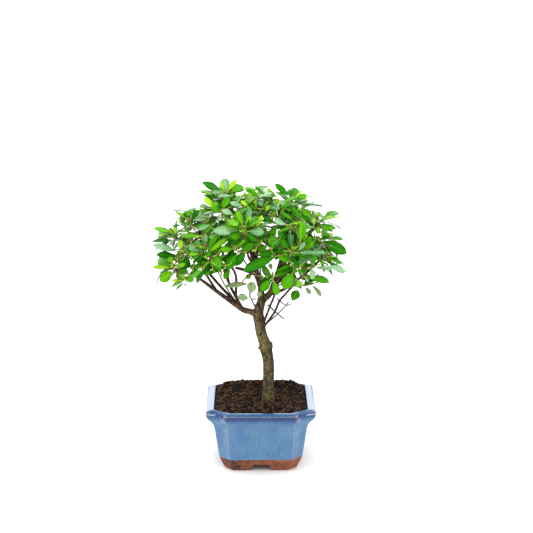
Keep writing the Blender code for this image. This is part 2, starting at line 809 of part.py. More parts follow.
def leaf_frame(root, axis, azimuth, lean):
    """The placing of a leaf: X along the leaf, Z out of its upper face."""
    out = root - CROWN_HEART
    side = (out - axis * out.dot(axis)).normalized()
    side = Matrix.Rotation(azimuth, 3, axis) @ side
    along = (axis * math.cos(lean) + side * math.sin(lean)).normalized()
    face = (axis - along * axis.dot(along)).normalized()
    turn = Matrix((along, face.cross(along), face)).transposed().to_4x4()
    return Matrix.Translation(root - along * LEAF_ROOT_SINK) @ turn


def leaf_shape(place, length):
    """Bends a point of the unit sphere into a leaf: widest past its middle, folded and drooping."""
    share = (place.x + 1) / 2 + LEAF_WIDEST_SHIFT * abs(place.y)
    return Vector((
        share * length,
        place.y * length * LEAF_WIDTH_SHARE / 2,
        place.z * LEAF_THICKNESS / 2 + LEAF_FOLD * abs(place.y) - LEAF_DROOP * share**2,
    ))


def leaf_mesh(frame, length):
    """One leaf as a thin blade of eight faces, shaped from the coarsest sphere."""
    mesh = bmesh.new()
    bmesh.ops.create_uvsphere(mesh, u_segments=4, v_segments=2, radius=1.0)
    for vert in mesh.verts:
        vert.co = frame @ leaf_shape(vert.co, length)
    bmesh.ops.recalc_face_normals(mesh, faces=mesh.faces)
    return mesh


def leaf_is_free(mesh, frame, length, mass, limbs, twigs, taken):
    """Whether a leaf keeps to its mass's space and misses the limbs, the twigs and the leaves before it."""
    for vert in mesh.verts:
        if room_in_cell(vert.co, mass) < CELL_MARGIN or not in_crown(vert.co, mass):
            return False
    near_end = frame @ Vector((LEAF_BODY_START * length, 0.0, 0.0))
    middle = frame @ Vector((LEAF_TWIG_START * length, 0.0, 0.0))
    far_end = frame @ Vector((length, 0.0, -LEAF_DROOP))
    half_width = LEAF_WIDTH_SHARE * length * LEAF_BODY_HALF
    if not clear_of_limbs(near_end, far_end, half_width, limbs):
        return False
    for line in twigs:
        for a, b in zip(line, line[1:]):
            if segment_distance(far_end, middle, a, b) < half_width:
                return False
    blade = BVHTree.FromBMesh(mesh)
    return not any(blade.overlap(other) for other in taken)


def grow_leaves(mass, twigs, limbs, draw, home):
    """Adds the mass's leaves: a spiral near each shoot's tip, each turned or shortened to fit or skipped."""
    taken = []
    for line in twigs:
        axis = shoot_axis(line[-1])
        down = (line[-2] - line[-1]).normalized()
        for i in range(mass.leaves):
            share = i / max(1, mass.leaves - 1)
            root = line[-1] + down * LEAF_ROOT_STEP * (mass.leaves - 0.5 - i)
            stray = draw.uniform(-LEAF_LEAN_STRAY, LEAF_LEAN_STRAY)
            lean = LEAF_LOWEST_LEAN - LEAF_LEAN_RISE * share + stray
            wanted = LEAF_LENGTH * mass.leaf_scale * draw.uniform(*LEAF_LENGTH_RANGE)
            azimuth = i * GOLDEN_ANGLE + draw.uniform(-LEAF_TURN_STRAY, LEAF_TURN_STRAY)
            for cut, turn in ((cut, turn) for cut in LEAF_CUTS for turn in LEAF_TURNS):
                frame = leaf_frame(root, axis, azimuth + turn, lean)
                mesh = leaf_mesh(frame, wanted * cut)
                free = leaf_is_free(mesh, frame, wanted * cut, mass, limbs, twigs, taken)
                if free:
                    taken.append(BVHTree.FromBMesh(mesh))
                    data = bpy.data.meshes.new("leaf")
                    mesh.to_mesh(data)
                    mesh_object("leaf", data, home)
                mesh.free()
                if free:
                    break


def twig_profile(home):
    """A three-cornered outline of radius 1 mm for the twigs."""
    curve = bpy.data.curves.new("twig_profile", "CURVE")
    spline = curve.splines.new("POLY")
    spline.points.add(2)
    spline.use_cyclic_u = True
    for k, point in enumerate(spline.points):
        angle = k * 2 * math.pi / 3
        point.co = (math.cos(angle) * MM, math.sin(angle) * MM, 0.0, 1.0)
    profile = bpy.data.objects.new("twig_profile", curve)
    home.objects.link(profile)
    return profile


def twig_radii(line):
    """A twig's radii in mm, from its foot to its tip."""
    slim = (TWIG_TIP_RADIUS - TWIG_RADIUS) / (len(line) - 1)
    return [(TWIG_RADIUS + slim * k) / MM for k in range(len(line))]


def make_masses(limbs, parts, cutters):
    """Every mass of foliage: twigs and leaves fused to one solid."""
    profile = twig_profile(cutters)
    green = material("azalea_foliage", "#3F8A22", 0.45)
    for index, mass in enumerate(MASSES):
        draw = random.Random(SEED + index)
        twigs = grow_twigs(mass, limbs, draw)
        extras = collection(mass.name + "_extras")
        grow_leaves(mass, twigs, limbs, draw, extras)
        stem = tube(mass.name, twigs[0], twig_radii(twigs[0]), parts, profile=profile)
        for i, line in enumerate(twigs[1:]):
            tube(f"twig_{i}", line, twig_radii(line), extras, profile=profile)
        fuse(stem, extras)
        finish(stem, green, 40)


def stand_on_origin(parts):
    """Shifts every part so that the middle of the underside of the whole box is the origin."""
    bpy.context.view_layer.update()
    corners = [obj.matrix_world @ Vector(c) for obj in parts.objects for c in obj.bound_box]
    low = [min(c[axis] for c in corners) for axis in range(3)]
    high = [max(c[axis] for c in corners) for axis in range(3)]
    carrier = bpy.data.objects.new("bonsai", None)
    parts.objects.link(carrier)
    for obj in parts.objects:
        if obj is not carrier:
            obj.parent = carrier
    carrier.location = (-(low[0] + high[0]) / 2, -(low[1] + high[1]) / 2, -low[2])


def main():
    """Builds the plant and its planter."""
    clear_scene()
    parts = collection("azalea_bonsai")
    cutters = collection("cutters", hidden=True)
    trunk = trunk_limb()
    limbs = route_limbs(trunk)
    make_pot(parts, cutters)
    make_soil(parts)
    make_trunk(trunk, parts, cutters)
    make_limbs(limbs, parts, cutters)
    make_masses(limbs, parts, cutters)
    for cutter in cutters.objects:
        cutter.hide_render = True
        cutter.display_type = "WIRE"
    stand_on_origin(parts)


main()
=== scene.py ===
"""Azalea bonsai in a glazed planter: fine meshes, finishes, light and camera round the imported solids.

Metres, +Z up. The plant's own frame is the planter's: its origin is the middle of the planter's foot,
the front faces -Y, and the places in the tables below are millimetres in that frame.
"""

import json
import logging
import math
import random
from dataclasses import dataclass, field
from enum import Enum
from functools import partial
from typing import Callable

import bmesh
import bpy
import numpy as np
from mathutils import Matrix, Vector, kdtree, noise
from mathutils.bvhtree import BVHTree
from mathutils.geometry import intersect_point_line

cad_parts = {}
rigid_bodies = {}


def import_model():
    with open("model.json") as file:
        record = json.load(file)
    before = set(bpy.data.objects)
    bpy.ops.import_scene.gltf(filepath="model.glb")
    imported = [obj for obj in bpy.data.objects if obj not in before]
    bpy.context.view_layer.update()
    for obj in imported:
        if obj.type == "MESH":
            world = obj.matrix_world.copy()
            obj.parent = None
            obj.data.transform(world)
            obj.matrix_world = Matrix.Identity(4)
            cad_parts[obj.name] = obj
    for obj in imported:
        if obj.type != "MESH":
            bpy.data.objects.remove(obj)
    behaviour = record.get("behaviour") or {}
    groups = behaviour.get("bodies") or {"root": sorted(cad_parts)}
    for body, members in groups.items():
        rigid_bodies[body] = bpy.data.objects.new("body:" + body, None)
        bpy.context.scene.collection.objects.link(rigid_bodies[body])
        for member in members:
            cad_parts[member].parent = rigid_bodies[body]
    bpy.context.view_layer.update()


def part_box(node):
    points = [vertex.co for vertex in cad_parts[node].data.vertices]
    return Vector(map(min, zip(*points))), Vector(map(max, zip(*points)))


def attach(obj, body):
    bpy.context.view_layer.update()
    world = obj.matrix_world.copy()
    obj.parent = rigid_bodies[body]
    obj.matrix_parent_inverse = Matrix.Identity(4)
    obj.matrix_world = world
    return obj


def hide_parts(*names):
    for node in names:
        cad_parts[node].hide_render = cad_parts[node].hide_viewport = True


LOG = logging.getLogger("azalea_bonsai")
MM = 0.001
UP = Vector((0.0, 0.0, 1.0))
GOLDEN_ANGLE = math.radians(137.5)
# A Mix node of colours has its share and its two colours at these inputs.
SHARE, FROM, TO = 0, 6, 7
# The output that a node is read at, where that isn't its first.
MAIN_OUTPUTS = {"ShaderNodeMix": 2, "ShaderNodeAttribute": 2}
BODY = "root"

Colour = tuple[float, float, float, float]
Place = tuple[float, float, float]
Line = list[Vector]
Piece = bpy.types.Object
Point = Vector | np.ndarray
Pair = tuple[float, float]
Sizes = tuple[float, ...]
Shape = tuple[np.ndarray, list[list[int]]]


def mm(x: float, y: float, z: float) -> Vector:
    """A place in metres from millimetres."""
    return Vector((x, y, z)) * MM


def hex_linear(code: str) -> Colour:
    """Turns an sRGB hex colour to linear RGBA.

    Args:
        code: the colour as #RRGGBB.

    Returns:
        The linear red, green, blue and an alpha of one.
    """
    channels = [int(code[i:i + 2], 16) / 255 for i in (1, 3, 5)]
    red, green, blue = (c / 12.92 if c <= 0.04045 else ((c + 0.055) / 1.055) ** 2.4 for c in channels)
    return red, green, blue, 1.0


def feed(node: bpy.types.Node, inputs: dict) -> None:
    """Sets or links a node's inputs.

    Args:
        node: the node.
        inputs: socket names or numbers, each with a number, a hex colour, an output socket, or a node
            whose main output feeds it.
    """
    for key, value in inputs.items():
        if isinstance(value, bpy.types.Node):
            value = value.outputs[MAIN_OUTPUTS.get(value.bl_idname, 0)]
        if isinstance(value, bpy.types.NodeSocket):
            node.id_data.links.new(value, node.inputs[key])
        else:
            node.inputs[key].default_value = hex_linear(value) if isinstance(value, str) else value


def add_node(tree: bpy.types.NodeTree, kind: str, inputs: dict | None = None,
        stops: list[tuple[float, str]] | None = None, **settings: object) -> bpy.types.Node:
    """Adds a node with its settings, socket values and links.

    Args:
        tree: the node tree it goes in.
        kind: the node's type name after ShaderNode. A Mix node is set to mix colours.
        inputs: its inputs, as feed takes them.
        stops: a colour ramp's places and hex colours.
        settings: the node's own properties.

    Returns:
        The new node.
    """
    node = tree.nodes.new("ShaderNode" + kind)
    if kind == "Mix":
        node.data_type = "RGBA"
    for name, value in settings.items():
        setattr(node, name, value)
    feed(node, inputs or {})
    for i, (place, code) in enumerate(stops or []):
        element = node.color_ramp.elements[i] if i < 2 else node.color_ramp.elements.new(place)
        element.position = place
        element.color = hex_linear(code)
    return node


def new_material(name: str) -> tuple[bpy.types.Material, Callable[..., bpy.types.Node], bpy.types.Node,
        bpy.types.NodeSocket]:
    """Makes an empty Principled material.

    Args:
        name: the material's name.

    Returns:
        The material, the call that adds a node to it, its shader, and the socket with the place on the piece.
    """
    material = bpy.data.materials.new(name)
    material.use_nodes = True
    add = partial(add_node, material.node_tree)
    return material, add, material.node_tree.nodes["Principled BSDF"], add("TexCoord").outputs["Object"]


@dataclass(frozen=True)
class GlazedStoneware:
    """Glazed stoneware, dipped and fired.

    It looks wet and glossy, mottled blue, deep where the glaze pools and brown where it runs thin.
    """

    glaze: str = "#3E6C9A"
    glaze_pale: str = "#527CA0"
    glaze_deep: str = "#043672"
    streak: str = "#7397A0"
    # Brown where the glaze is thin on the rim's edge, also used as painted shade inside the rim.
    thin: str = "#2E1216"
    # The colours of the painted highlight on the panels' edges and of the painted shade beside it.
    edge_highlight: str = "#8CA4B8"
    edge_shade: str = "#555C99"
    pit: str = "#14263C"
    gloss: float = 0.09
    # The colour of the painted highlights on the rim.
    glint: str = "#C4D6EE"
    mottle_mm: float = 20.0
    streak_mm: Place = (2.381, 2.381, 22.22)
    drip_mm: float = 6.0
    band_mm: Pair = (63.0, 83.0)
    break_mm: float = 8.0
    pit_mm: float = 9.0
    ripple_mm: float = 5.0
    ripple_deep_mm: float = 0.5

    def build(self) -> bpy.types.Material:
        """Makes the glaze: mottled blue, deep below the rim, with a painted highlight and painted shade on
        the panel edges, a brown rim line, painted shade inside the rim and painted highlights on it.

        Returns:
            The material.
        """
        material, add, shader, where = new_material("glazed_stoneware_blue")
        mottle = add("TexNoise", {"Vector": where, "Scale": 1 / (self.mottle_mm * MM),
            "Detail": 6.0, "Roughness": 0.66})
        colour = add("ValToRGB", {"Fac": mottle}, stops=[(0.36, self.glaze), (0.64, self.glaze_pale)])
        # The glaze runs down as it melts, so its streaks are long in Z.
        stretched = add("Mapping", {"Vector": where, "Scale":
            tuple(1 / (size * MM) for size in self.streak_mm)})
        streaks = add("TexNoise", {"Vector": stretched, "Scale": 1.0, "Detail": 3.0})
        streak = add("MapRange", {"Value": streaks, "From Min": 0.48, "From Max": 0.78, "To Max": 0.36})
        height = add("SeparateXYZ", {"Vector": where})
        wobble = add("Math", {0: streaks, 1: self.drip_mm * MM,
            2: height.outputs["Z"]}, operation="MULTIPLY_ADD")
        # The band below the rim is deepest under its edge. The rim's top is paler again.
        span = add("MapRange", {"Value": wobble, "From Min": self.band_mm[0] * MM,
            "From Max": self.band_mm[1] * MM})
        pooled = add("ValToRGB", {"Fac": span}, stops=[(0.2, "#000000"),
            (0.4, "#AAAAAA"), (0.58, "#FFFFFF"), (0.72, "#FFFFFF"), (0.78, "#B8B8B8")])
        # The panels' edges carry a painted highlight, with a faint violet line of painted shade beside it.
        # The crease where the rim flares from the panel carries a faint line of both.
        panel = add("Attribute", attribute_name="panel_edge")
        tint = add("ValToRGB", {"Fac": panel}, stops=[(0.42, self.edge_shade), (0.72, self.edge_highlight)])
        edge = add("MapRange", {"Value": panel, "From Min": 0.3, "From Max": 0.75, "To Max": 0.34})
        # The rim's brown line where the glaze is thin, broken up. The same brown is painted shade down the
        # inside of the rim and in a spot under each corner.
        rim = add("Attribute", attribute_name="rim_edge")
        broken = add("TexNoise", {"Vector": where, "Scale": 1 / (self.break_mm * MM), "Detail": 4.0})
        breaks = add("MapRange", {"Value": broken, "From Min": 0.34, "From Max": 0.5, "To Min": 0.5})
        line = add("Math", {0: rim, 1: breaks}, operation="MULTIPLY")
        # Painted highlights along the lip, at its corners and on the rim's lobes.
        glints = add("Attribute", attribute_name="rim_glint")
        # Pinholes where gas left the glaze: about one every square centimetre, two thirds of a mm wide.
        pits = add("TexVoronoi", {"Vector": where, "Scale": 1 / (self.pit_mm * MM), "Randomness": 1.0})
        pit = add("MapRange", {"Value": pits, "From Min": 0.085, "From Max": 0.04, "To Max": 0.75})
        layers = ((streak, self.streak), (pooled, self.glaze_deep), (edge, tint), (line, self.thin),
            (glints, self.glint), (pit, self.pit))
        for share, over in layers:
            colour = add("Mix", {SHARE: share, FROM: colour, TO: over})
        ripple = add("TexNoise", {"Vector": where, "Scale": 1 / (self.ripple_mm * MM), "Detail": 2.0})
        bump = add("Bump", {"Height": ripple, "Strength": 0.16, "Distance": self.ripple_deep_mm * MM})
        feed(shader, {"Base Color": colour, "Normal": bump, "Roughness": self.gloss, "IOR": 1.52})
        return material


@dataclass(frozen=True)
class BareClay:
    """Terracotta, fired without a glaze. It looks dry and matt, with dark smudges of smoke and water."""

    light: str = "#8E4F34"
    dark: str = "#6F3C27"
    # Dark smudges of smoke and water, and the painted shade in the recess under the planter.
    smudge_and_shade: str = "#1C130E"
    blotch_mm: float = 12.0
    grit_mm: float = 0.5
    grit_high_mm: float = 0.15

    def build(self) -> bpy.types.Material:
        """Makes the clay.

        Returns:
            The material.
        """
        material, add, shader, where = new_material("bare_terracotta_clay")
        blotch = add("TexNoise", {"Vector": where, "Scale": 1 / (self.blotch_mm * MM),
            "Detail": 6.0, "Roughness": 0.7})
        # The kiln smoked the planter's -X end most.
        side = add("SeparateXYZ", {"Vector": where}).outputs["X"]
        smoke = add("Math", {0: side, 1: 1.9, 2: blotch}, operation="MULTIPLY_ADD")
        clay = add("ValToRGB", {"Fac": smoke},
            stops=[(0.37, self.smudge_and_shade), (0.46, self.dark), (0.6, self.light)])
        # The recess under the planter, between the feet, is darkened as painted shade.
        hollow = add("Attribute", attribute_name="hollow")
        recess_shade = add("Mix", {SHARE: hollow, FROM: clay, TO: self.smudge_and_shade})
        grit = add("TexNoise", {"Vector": where, "Scale": 1 / (self.grit_mm * MM), "Detail": 3.0})
        bump = add("Bump", {"Height": grit, "Strength": 0.5, "Distance": self.grit_high_mm * MM})
        feed(shader, {"Base Color": recess_shade, "Normal": bump, "Roughness": 0.78})
        return material


@dataclass(frozen=True)
class TwoTone:
    """Matter in two tones that follow its grains, which stand up where it is crumbly."""

    name: str
    dark: str
    light: str
    grain_mm: float = 1.4
    roughness: float = 0.92
    shine: float = 0.2
    detail: float = 6.0
    rough_detail: float = 0.7
    stops: Pair = (0.35, 0.68)
    grain_high_mm: float = 0.4

    def build(self) -> bpy.types.Material:
        """Makes the matter.

        Returns:
            The material.
        """
        material, add, shader, where = new_material(self.name)
        grains = add("TexNoise", {"Vector": where, "Scale": 1 / (self.grain_mm * MM),
            "Detail": self.detail, "Roughness": self.rough_detail})
        tone = add("ValToRGB", {"Fac": grains}, stops=list(zip(self.stops, (self.dark, self.light))))
        feed(shader, {"Base Color": tone, "Roughness": self.roughness, "Specular IOR Level": self.shine})
        if self.grain_high_mm:
            feed(shader, {"Normal": add("Bump", {"Height": grains, "Strength": 0.8,
                "Distance": self.grain_high_mm * MM})})
        return material


@dataclass(frozen=True)
class GroundStuff(TwoTone):
    """Peat, bark crumbs, grit or moss, as it lies. It looks damp, rough and crumbly."""


@dataclass(frozen=True)
class YoungStem(TwoTone):
    """The skin of a young azalea stem, as it grows. It looks smooth and satin, in two close tones."""

    grain_mm: float = 6.0
    roughness: float = 0.5
    shine: float = 0.5
    detail: float = 3.0
    rough_detail: float = 0.5
    stops: Pair = (0.38, 0.64)
    grain_high_mm: float = 0.0


@dataclass(frozen=True)
class StudioPaper(TwoTone):
    """White paper, rolled. It looks flat and matt, with very faint clouds, and leaves the shadow soft."""

    name: str = "white_studio_paper"
    dark: str = "#F8F8F8"
    light: str = "#FBFBFB"
    grain_mm: float = 60.0
    roughness: float = 0.9
    shine: float = 0.1
    detail: float = 2.0
    rough_detail: float = 0.5
    stops: Pair = (0.3, 0.7)
    grain_high_mm: float = 0.0


@dataclass(frozen=True)
class Bark:
    """Azalea bark, as it grows.

    It looks dry and flaky, grey-brown under a green film of algae on old wood, and redder on young wood.
    """

    name: str
    groove: str = "#17110B"
    flake: str = "#5A4333"
    flake_pale: str = "#82705A"
    # The darkest film, also used as painted shade on the side away from the light.
    film_dark_and_shade: str = "#22260F"
    film: str = "#4F4E28"
    film_pale: str = "#8C7C48"
    young_groove: str = "#1A100B"
    young: str = "#4E3326"
    young_pale: str = "#947058"
    moss: str = "#5E6618"
    patch_mm: float = 9.0
    fleck_mm: float = 4.0
    grain_mm: float = 0.7
    grain_high_mm: float = 0.4
    film_low_mm: float = 95.0
    film_high_mm: float = 150.0
    moss_low_mm: float = 79.0
    moss_high_mm: float = 87.0

    def build(self) -> bpy.types.Material:
        """Makes the bark from its relief, the wood's age, patches of algae and moss at the foot.

        Returns:
            The material.
        """
        material, add, shader, where = new_material(self.name)
        long_grain = add("Mapping", {"Vector": where, "Scale": (1.0, 1.0, 0.35)})
        grain = add("TexNoise", {"Vector": long_grain,
            "Scale": 1 / (self.grain_mm * MM), "Detail": 5.0, "Roughness": 0.65})
        relief = add("Attribute", attribute_name="relief")
        mixed = add("Math", {0: grain, 1: 0.7, 2: relief}, operation="MULTIPLY_ADD")
        share = add("MapRange", {"Value": mixed, "From Min": 0.45, "From Max": 1.55})
        colour = add("ValToRGB", {"Fac": share},
            stops=[(0.1, self.groove), (0.5, self.flake), (0.95, self.flake_pale)])
        young = add("ValToRGB", {"Fac": share},
            stops=[(0.1, self.young_groove), (0.55, self.young), (0.95, self.young_pale)])
        # The film lies in patches, thicker higher up. Its flecks are drawn 4 mm long so that they show.
        patches = add("TexNoise", {"Vector": long_grain,
            "Scale": 1 / (self.patch_mm * MM), "Detail": 5.0, "Roughness": 0.7})
        flecks = add("TexNoise", {"Vector": long_grain,
            "Scale": 1 / (self.fleck_mm * MM), "Detail": 3.0, "Roughness": 0.6})
        fleck = add("Math", {0: share, 1: 0.35, 2: flecks}, operation="MULTIPLY_ADD")
        tint = add("ValToRGB", {"Fac": fleck},
            stops=[(0.5, self.film_dark_and_shade), (0.62, self.film), (0.78, self.film_pale)])
        film = add("MapRange", {"Value": patches, "From Min": 0.4, "From Max": 0.56, "To Max": 0.9})
        height = add("SeparateXYZ", {"Vector": where})
        damp = add("MapRange", {"Value": height.outputs["Z"],
            "From Min": self.film_low_mm * MM, "From Max": self.film_high_mm * MM, "To Min": 0.3})
        # It is thicker on the side away from the light, which is +X, and that side is also darkened as
        # painted shade.
        facing = add("SeparateXYZ", {"Vector": add("NewGeometry").outputs["Normal"]})
        shady = add("MapRange", {"Value": facing.outputs["X"], "From Min": -0.3,
            "From Max": 0.8, "To Max": 0.72})
        green = add("Math", {0: film, 1: damp, 2: shady}, operation="MULTIPLY_ADD", use_clamp=True)
        shaded = add("Mix", {SHARE: shady, FROM: tint, TO: self.film_dark_and_shade})
        low = add("MapRange", {"Value": height.outputs["Z"], "From Min": self.moss_high_mm * MM,
            "From Max": self.moss_low_mm * MM})
        tuft = add("MapRange", {"Value": patches, "From Min": 0.5, "From Max": 0.6, "To Max": 0.75})
        mossy = add("Math", {0: low, 1: tuft}, operation="MULTIPLY")
        youth = add("Attribute", attribute_name="youth")
        for part, over in ((green, shaded), (mossy, self.moss), (youth, young)):
            colour = add("Mix", {SHARE: part, FROM: colour, TO: over})
        bump = add("Bump", {"Height": grain, "Strength": 0.8, "Distance": self.grain_high_mm * MM})
        feed(shader, {"Base Color": colour, "Normal": bump, "Roughness": 0.85, "Specular IOR Level": 0.35})
        return material


@dataclass(frozen=True)
class LeafSkin:
    """A living azalea leaf under its own wax.

    It looks glossy above, with a pale sunk rib and faint side veins, and paler and matt below.
    """

    tone: str
    upper: str
    upper_light: str
    rib: str
    under: str
    gloss: float
    wax: float = 0.35
    mottle: float = 0.5
    vein_pairs: float = 7.0
    vein_slant: float = -0.22
    blotch_mm: float = 9.0
    cell_mm: float = 4.0
    quilt_high_mm: float = 0.12

    def build(self) -> list[bpy.types.Material]:
        """Makes the leaf's three skins.

        Returns:
            The materials of the upper face, the rib and the underside.
        """
        upper, add, shader, where = new_material(f"azalea_leaf_{self.tone}")
        on_leaf = add("Attribute", attribute_name="leaf_place")
        parts = add("SeparateXYZ", {"Vector": on_leaf.outputs["Vector"]})
        blotch = add("TexNoise", {"Vector": where, "Scale": 1 / (self.blotch_mm * MM), "Detail": 4.0})
        mixed = add("Math", {0: blotch, 1: self.mottle, 2: parts.outputs["Z"]}, operation="MULTIPLY_ADD")
        share = add("MapRange", {"Value": mixed, "From Min": self.mottle * 0.5 - 0.05,
            "From Max": self.mottle * 0.5 + 0.85})
        tone = add("Mix", {SHARE: share, FROM: self.upper, TO: self.upper_light})
        # The side veins leave the rib at a slant: their place is the height on the leaf less the way out.
        aside = add("Math", {0: parts.outputs["X"]}, operation="ABSOLUTE")
        slant = add("Math", {0: aside, 1: self.vein_slant, 2: parts.outputs["Y"]}, operation="MULTIPLY_ADD")
        turns = add("Math", {0: slant, 1: self.vein_pairs * 2 * math.pi}, operation="MULTIPLY")
        wave = add("Math", {0: turns}, operation="COSINE")
        vein = add("MapRange", {"Value": wave, "From Min": 0.72, "From Max": 1.0, "To Max": 0.3})
        veined = add("Mix", {SHARE: vein, FROM: tone, TO: self.rib})
        quilt = add("Bump", {"Height": wave, "Strength": 0.3,
            "Distance": self.quilt_high_mm * MM}, invert=True)
        feed(shader, {"Base Color": veined, "Normal": quilt, "Roughness": self.gloss,
            "Specular IOR Level": self.wax, "Specular Tint": self.upper_light})
        made = [upper]
        for part, code, rough in (("rib", self.rib, self.gloss + 0.1), ("underside", self.under, 0.62)):
            skin, add, shader, where = new_material(f"azalea_leaf_{self.tone}_{part}")
            cells = add("TexNoise", {"Vector": where, "Scale": 1 / (self.cell_mm * MM), "Detail": 3.0})
            tone = add("ValToRGB", {"Fac": cells}, stops=[(0.36, self.upper_light), (0.6, code)])
            feed(shader, {"Base Color": tone, "Roughness": rough, "Specular IOR Level": self.wax,
                "Specular Tint": code})
            made.append(skin)
        return made


def put(name: str, data: bpy.types.ID) -> Piece:
    """Puts a new object in the scene.

    Args:
        name: its name.
        data: its mesh, light or camera.

    Returns:
        The object.
    """
    made = bpy.data.objects.new(name, data)
    bpy.context.scene.collection.objects.link(made)
    return made


def keep_values(mesh: bpy.types.Mesh, values: dict[str, np.ndarray]) -> None:
    """Keeps numbers or vectors on a mesh's points, where the materials read them.

    Args:
        mesh: the mesh.
        values: a row for each point, by the name that the materials know them by.
    """
    for name, rows in values.items():
        kind, key = ("FLOAT", "value") if rows.ndim == 1 else ("FLOAT_VECTOR", "vector")
        mesh.attributes.new(name, kind, "POINT").data.foreach_set(key, rows.astype(np.float32).ravel())


class Slot(Enum):
    """The record's material slots."""

    GLAZE = "glazed_stoneware"
    SOIL = "peat_soil"
    TRUNK = "trunk_bark"
    BOUGH = "bough_bark"
    LEAF = "azalea_leaves"


@dataclass
class Batch:
    """Gathers shapes of one kind and makes them one mesh."""

    name: str
    points: list[np.ndarray] = field(default_factory=list)
    faces: list[list[int]] = field(default_factory=list)
    marks: list[int] = field(default_factory=list)
    values: list[np.ndarray] = field(default_factory=list)
    count: int = 0

    def add(self, points: np.ndarray, faces: list[list[int]], marks: list[int] | None = None,
            values: np.ndarray | None = None) -> None:
        """Adds one shape.

        Args:
            points: its points in metres, a row each.
            faces: its faces as indices into the points.
            marks: each face's material number, or none for the first material.
            values: a value or vector for each point.
        """
        self.faces += [[i + self.count for i in face] for face in faces]
        self.marks += marks if marks else [0] * len(faces)
        self.points.append(points)
        if values is not None:
            self.values.append(values)
        self.count += len(points)

    def make(self, materials: list[bpy.types.Material], attribute: str = "") -> Piece:
        """Makes the piece.

        Args:
            materials: its materials, in the order of the marks.
            attribute: the name that the points' values are kept under.

        Returns:
            The new object, shaded smooth.
        """
        mesh = bpy.data.meshes.new(self.name)
        mesh.from_pydata(np.concatenate(self.points).tolist(), [], self.faces)
        mesh.polygons.foreach_set("material_index", self.marks)
        if attribute:
            keep_values(mesh, {attribute: np.concatenate(self.values)})
        for material in materials:
            mesh.materials.append(material)
        mesh.shade_smooth()
        mesh.update()
        return put(self.name, mesh)


def settle(piece: Piece, slot: Slot, nodes: list[str], shift: Point = Vector()) -> None:
    """Ties a finished piece to the part's body, and hides the nodes that it stands for.

    Args:
        piece: the piece.
        slot: its material slot; not used.
        nodes: the nodes that it stands for.
        shift: how far it is moved first, in metres.
    """
    piece.data.transform(Matrix.Translation(shift))
    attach(piece, BODY)
    if nodes:
        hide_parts(*nodes)
    LOG.info("%s: %d faces", piece.name, len(piece.data.polygons))


def apply_modifiers(piece: Piece) -> None:
    """Makes a piece's evaluated mesh its own, and drops its modifiers.

    Args:
        piece: the piece.
    """
    bpy.context.view_layer.update()
    evaluated = piece.evaluated_get(bpy.context.evaluated_depsgraph_get())
    mesh = bpy.data.meshes.new_from_object(evaluated)
    piece.modifiers.clear()
    old = piece.data
    piece.data = mesh
    bpy.data.meshes.remove(old)
    mesh.name = piece.name


def ease(start: Point, end: Point, leaving: Point, arriving: Point, t: float) -> Point:
    """A place on a smooth curve between two others, from the ways it leaves and arrives, at a share t."""
    return (start * (2 * t**3 - 3 * t**2 + 1) + leaving * (t**3 - 2 * t**2 + t) + end * (3 * t**2 - 2 * t**3)
        + arriving * (t**3 - t**2))


def smooth_line(knots: Line, radii: list[float], step: float) -> tuple[Line, list[float]]:
    """Draws a smooth line through some places.

    Args:
        knots: the places.
        radii: a radius at each place.
        step: the way between the line's points, in metres.

    Returns:
        The line's points, and the radius at each.
    """
    line: Line = []
    widths: list[float] = []
    for i, (start, end) in enumerate(zip(knots, knots[1:])):
        leaving = (end - knots[max(i - 1, 0)]) * 0.5
        arriving = (knots[min(i + 2, len(knots) - 1)] - start) * 0.5
        pieces = max(1, round((end - start).length / step))
        for k in range(pieces):
            line.append(ease(start, end, leaving, arriving, k / pieces))
            widths.append(radii[i] + (radii[i + 1] - radii[i]) * k / pieces)
    return line + [knots[-1]], widths + [radii[-1]]


def loft(rings: list[Line]) -> Shape:
    """Joins outlines that have the same number of points into one closed shape.

    Args:
        rings: the outlines, from one end to the other.

    Returns:
        The shape's points, and its faces: the two ends, then the sides from the first outline on.
    """
    count = len(rings[0])
    last = (len(rings) - 1) * count
    faces = [list(range(count))[::-1], list(range(last, last + count))]
    for low in range(0, last, count):
        for k in range(count):
            a, b = low + k, low + (k + 1) % count
            faces.append([a, b, b + count, a + count])
    return np.array([tuple(p) for ring in rings for p in ring]), faces


def way_at(line: Line, i: int) -> Vector:
    """The way that a line runs at one of its points."""
    return (line[min(i + 1, len(line) - 1)] - line[max(i - 1, 0)]).normalized()


def tube(line: Line, radii: list[float], sides: int) -> Shape:
    """Makes a closed tube along a line.

    Args:
        line: the line's points in metres.
        radii: the radius at each, in metres.
        sides: the number of sides.

    Returns:
        The tube's points, and its faces.
    """
    side = (line[1] - line[0]).normalized().orthogonal().normalized()
    turns = [2 * math.pi * k / sides for k in range(sides)]
    rings = []
    for i, place in enumerate(line):
        ahead = way_at(line, i)
        side = (side - ahead * side.dot(ahead)).normalized()
        over = ahead.cross(side)
        rings.append([place + (side * math.cos(a) + over * math.sin(a)) * radii[i] for a in turns])
    return loft(rings)


def prism(name: str, lower: Line, upper: Line) -> Piece:
    """Makes a closed cutter whose cut faces take the second material.

    Args:
        name: its name.
        lower: its outline at one end.
        upper: its outline at the other, with as many points.

    Returns:
        The cutter.
    """
    batch = Batch(name)
    points, faces = loft([lower, upper])
    batch.add(points, faces, [1] * len(faces))
    piece = batch.make([])
    shape = bmesh.new()
    shape.from_mesh(piece.data)
    bmesh.ops.recalc_face_normals(shape, faces=shape.faces)
    shape.to_mesh(piece.data)
    shape.free()
    return piece


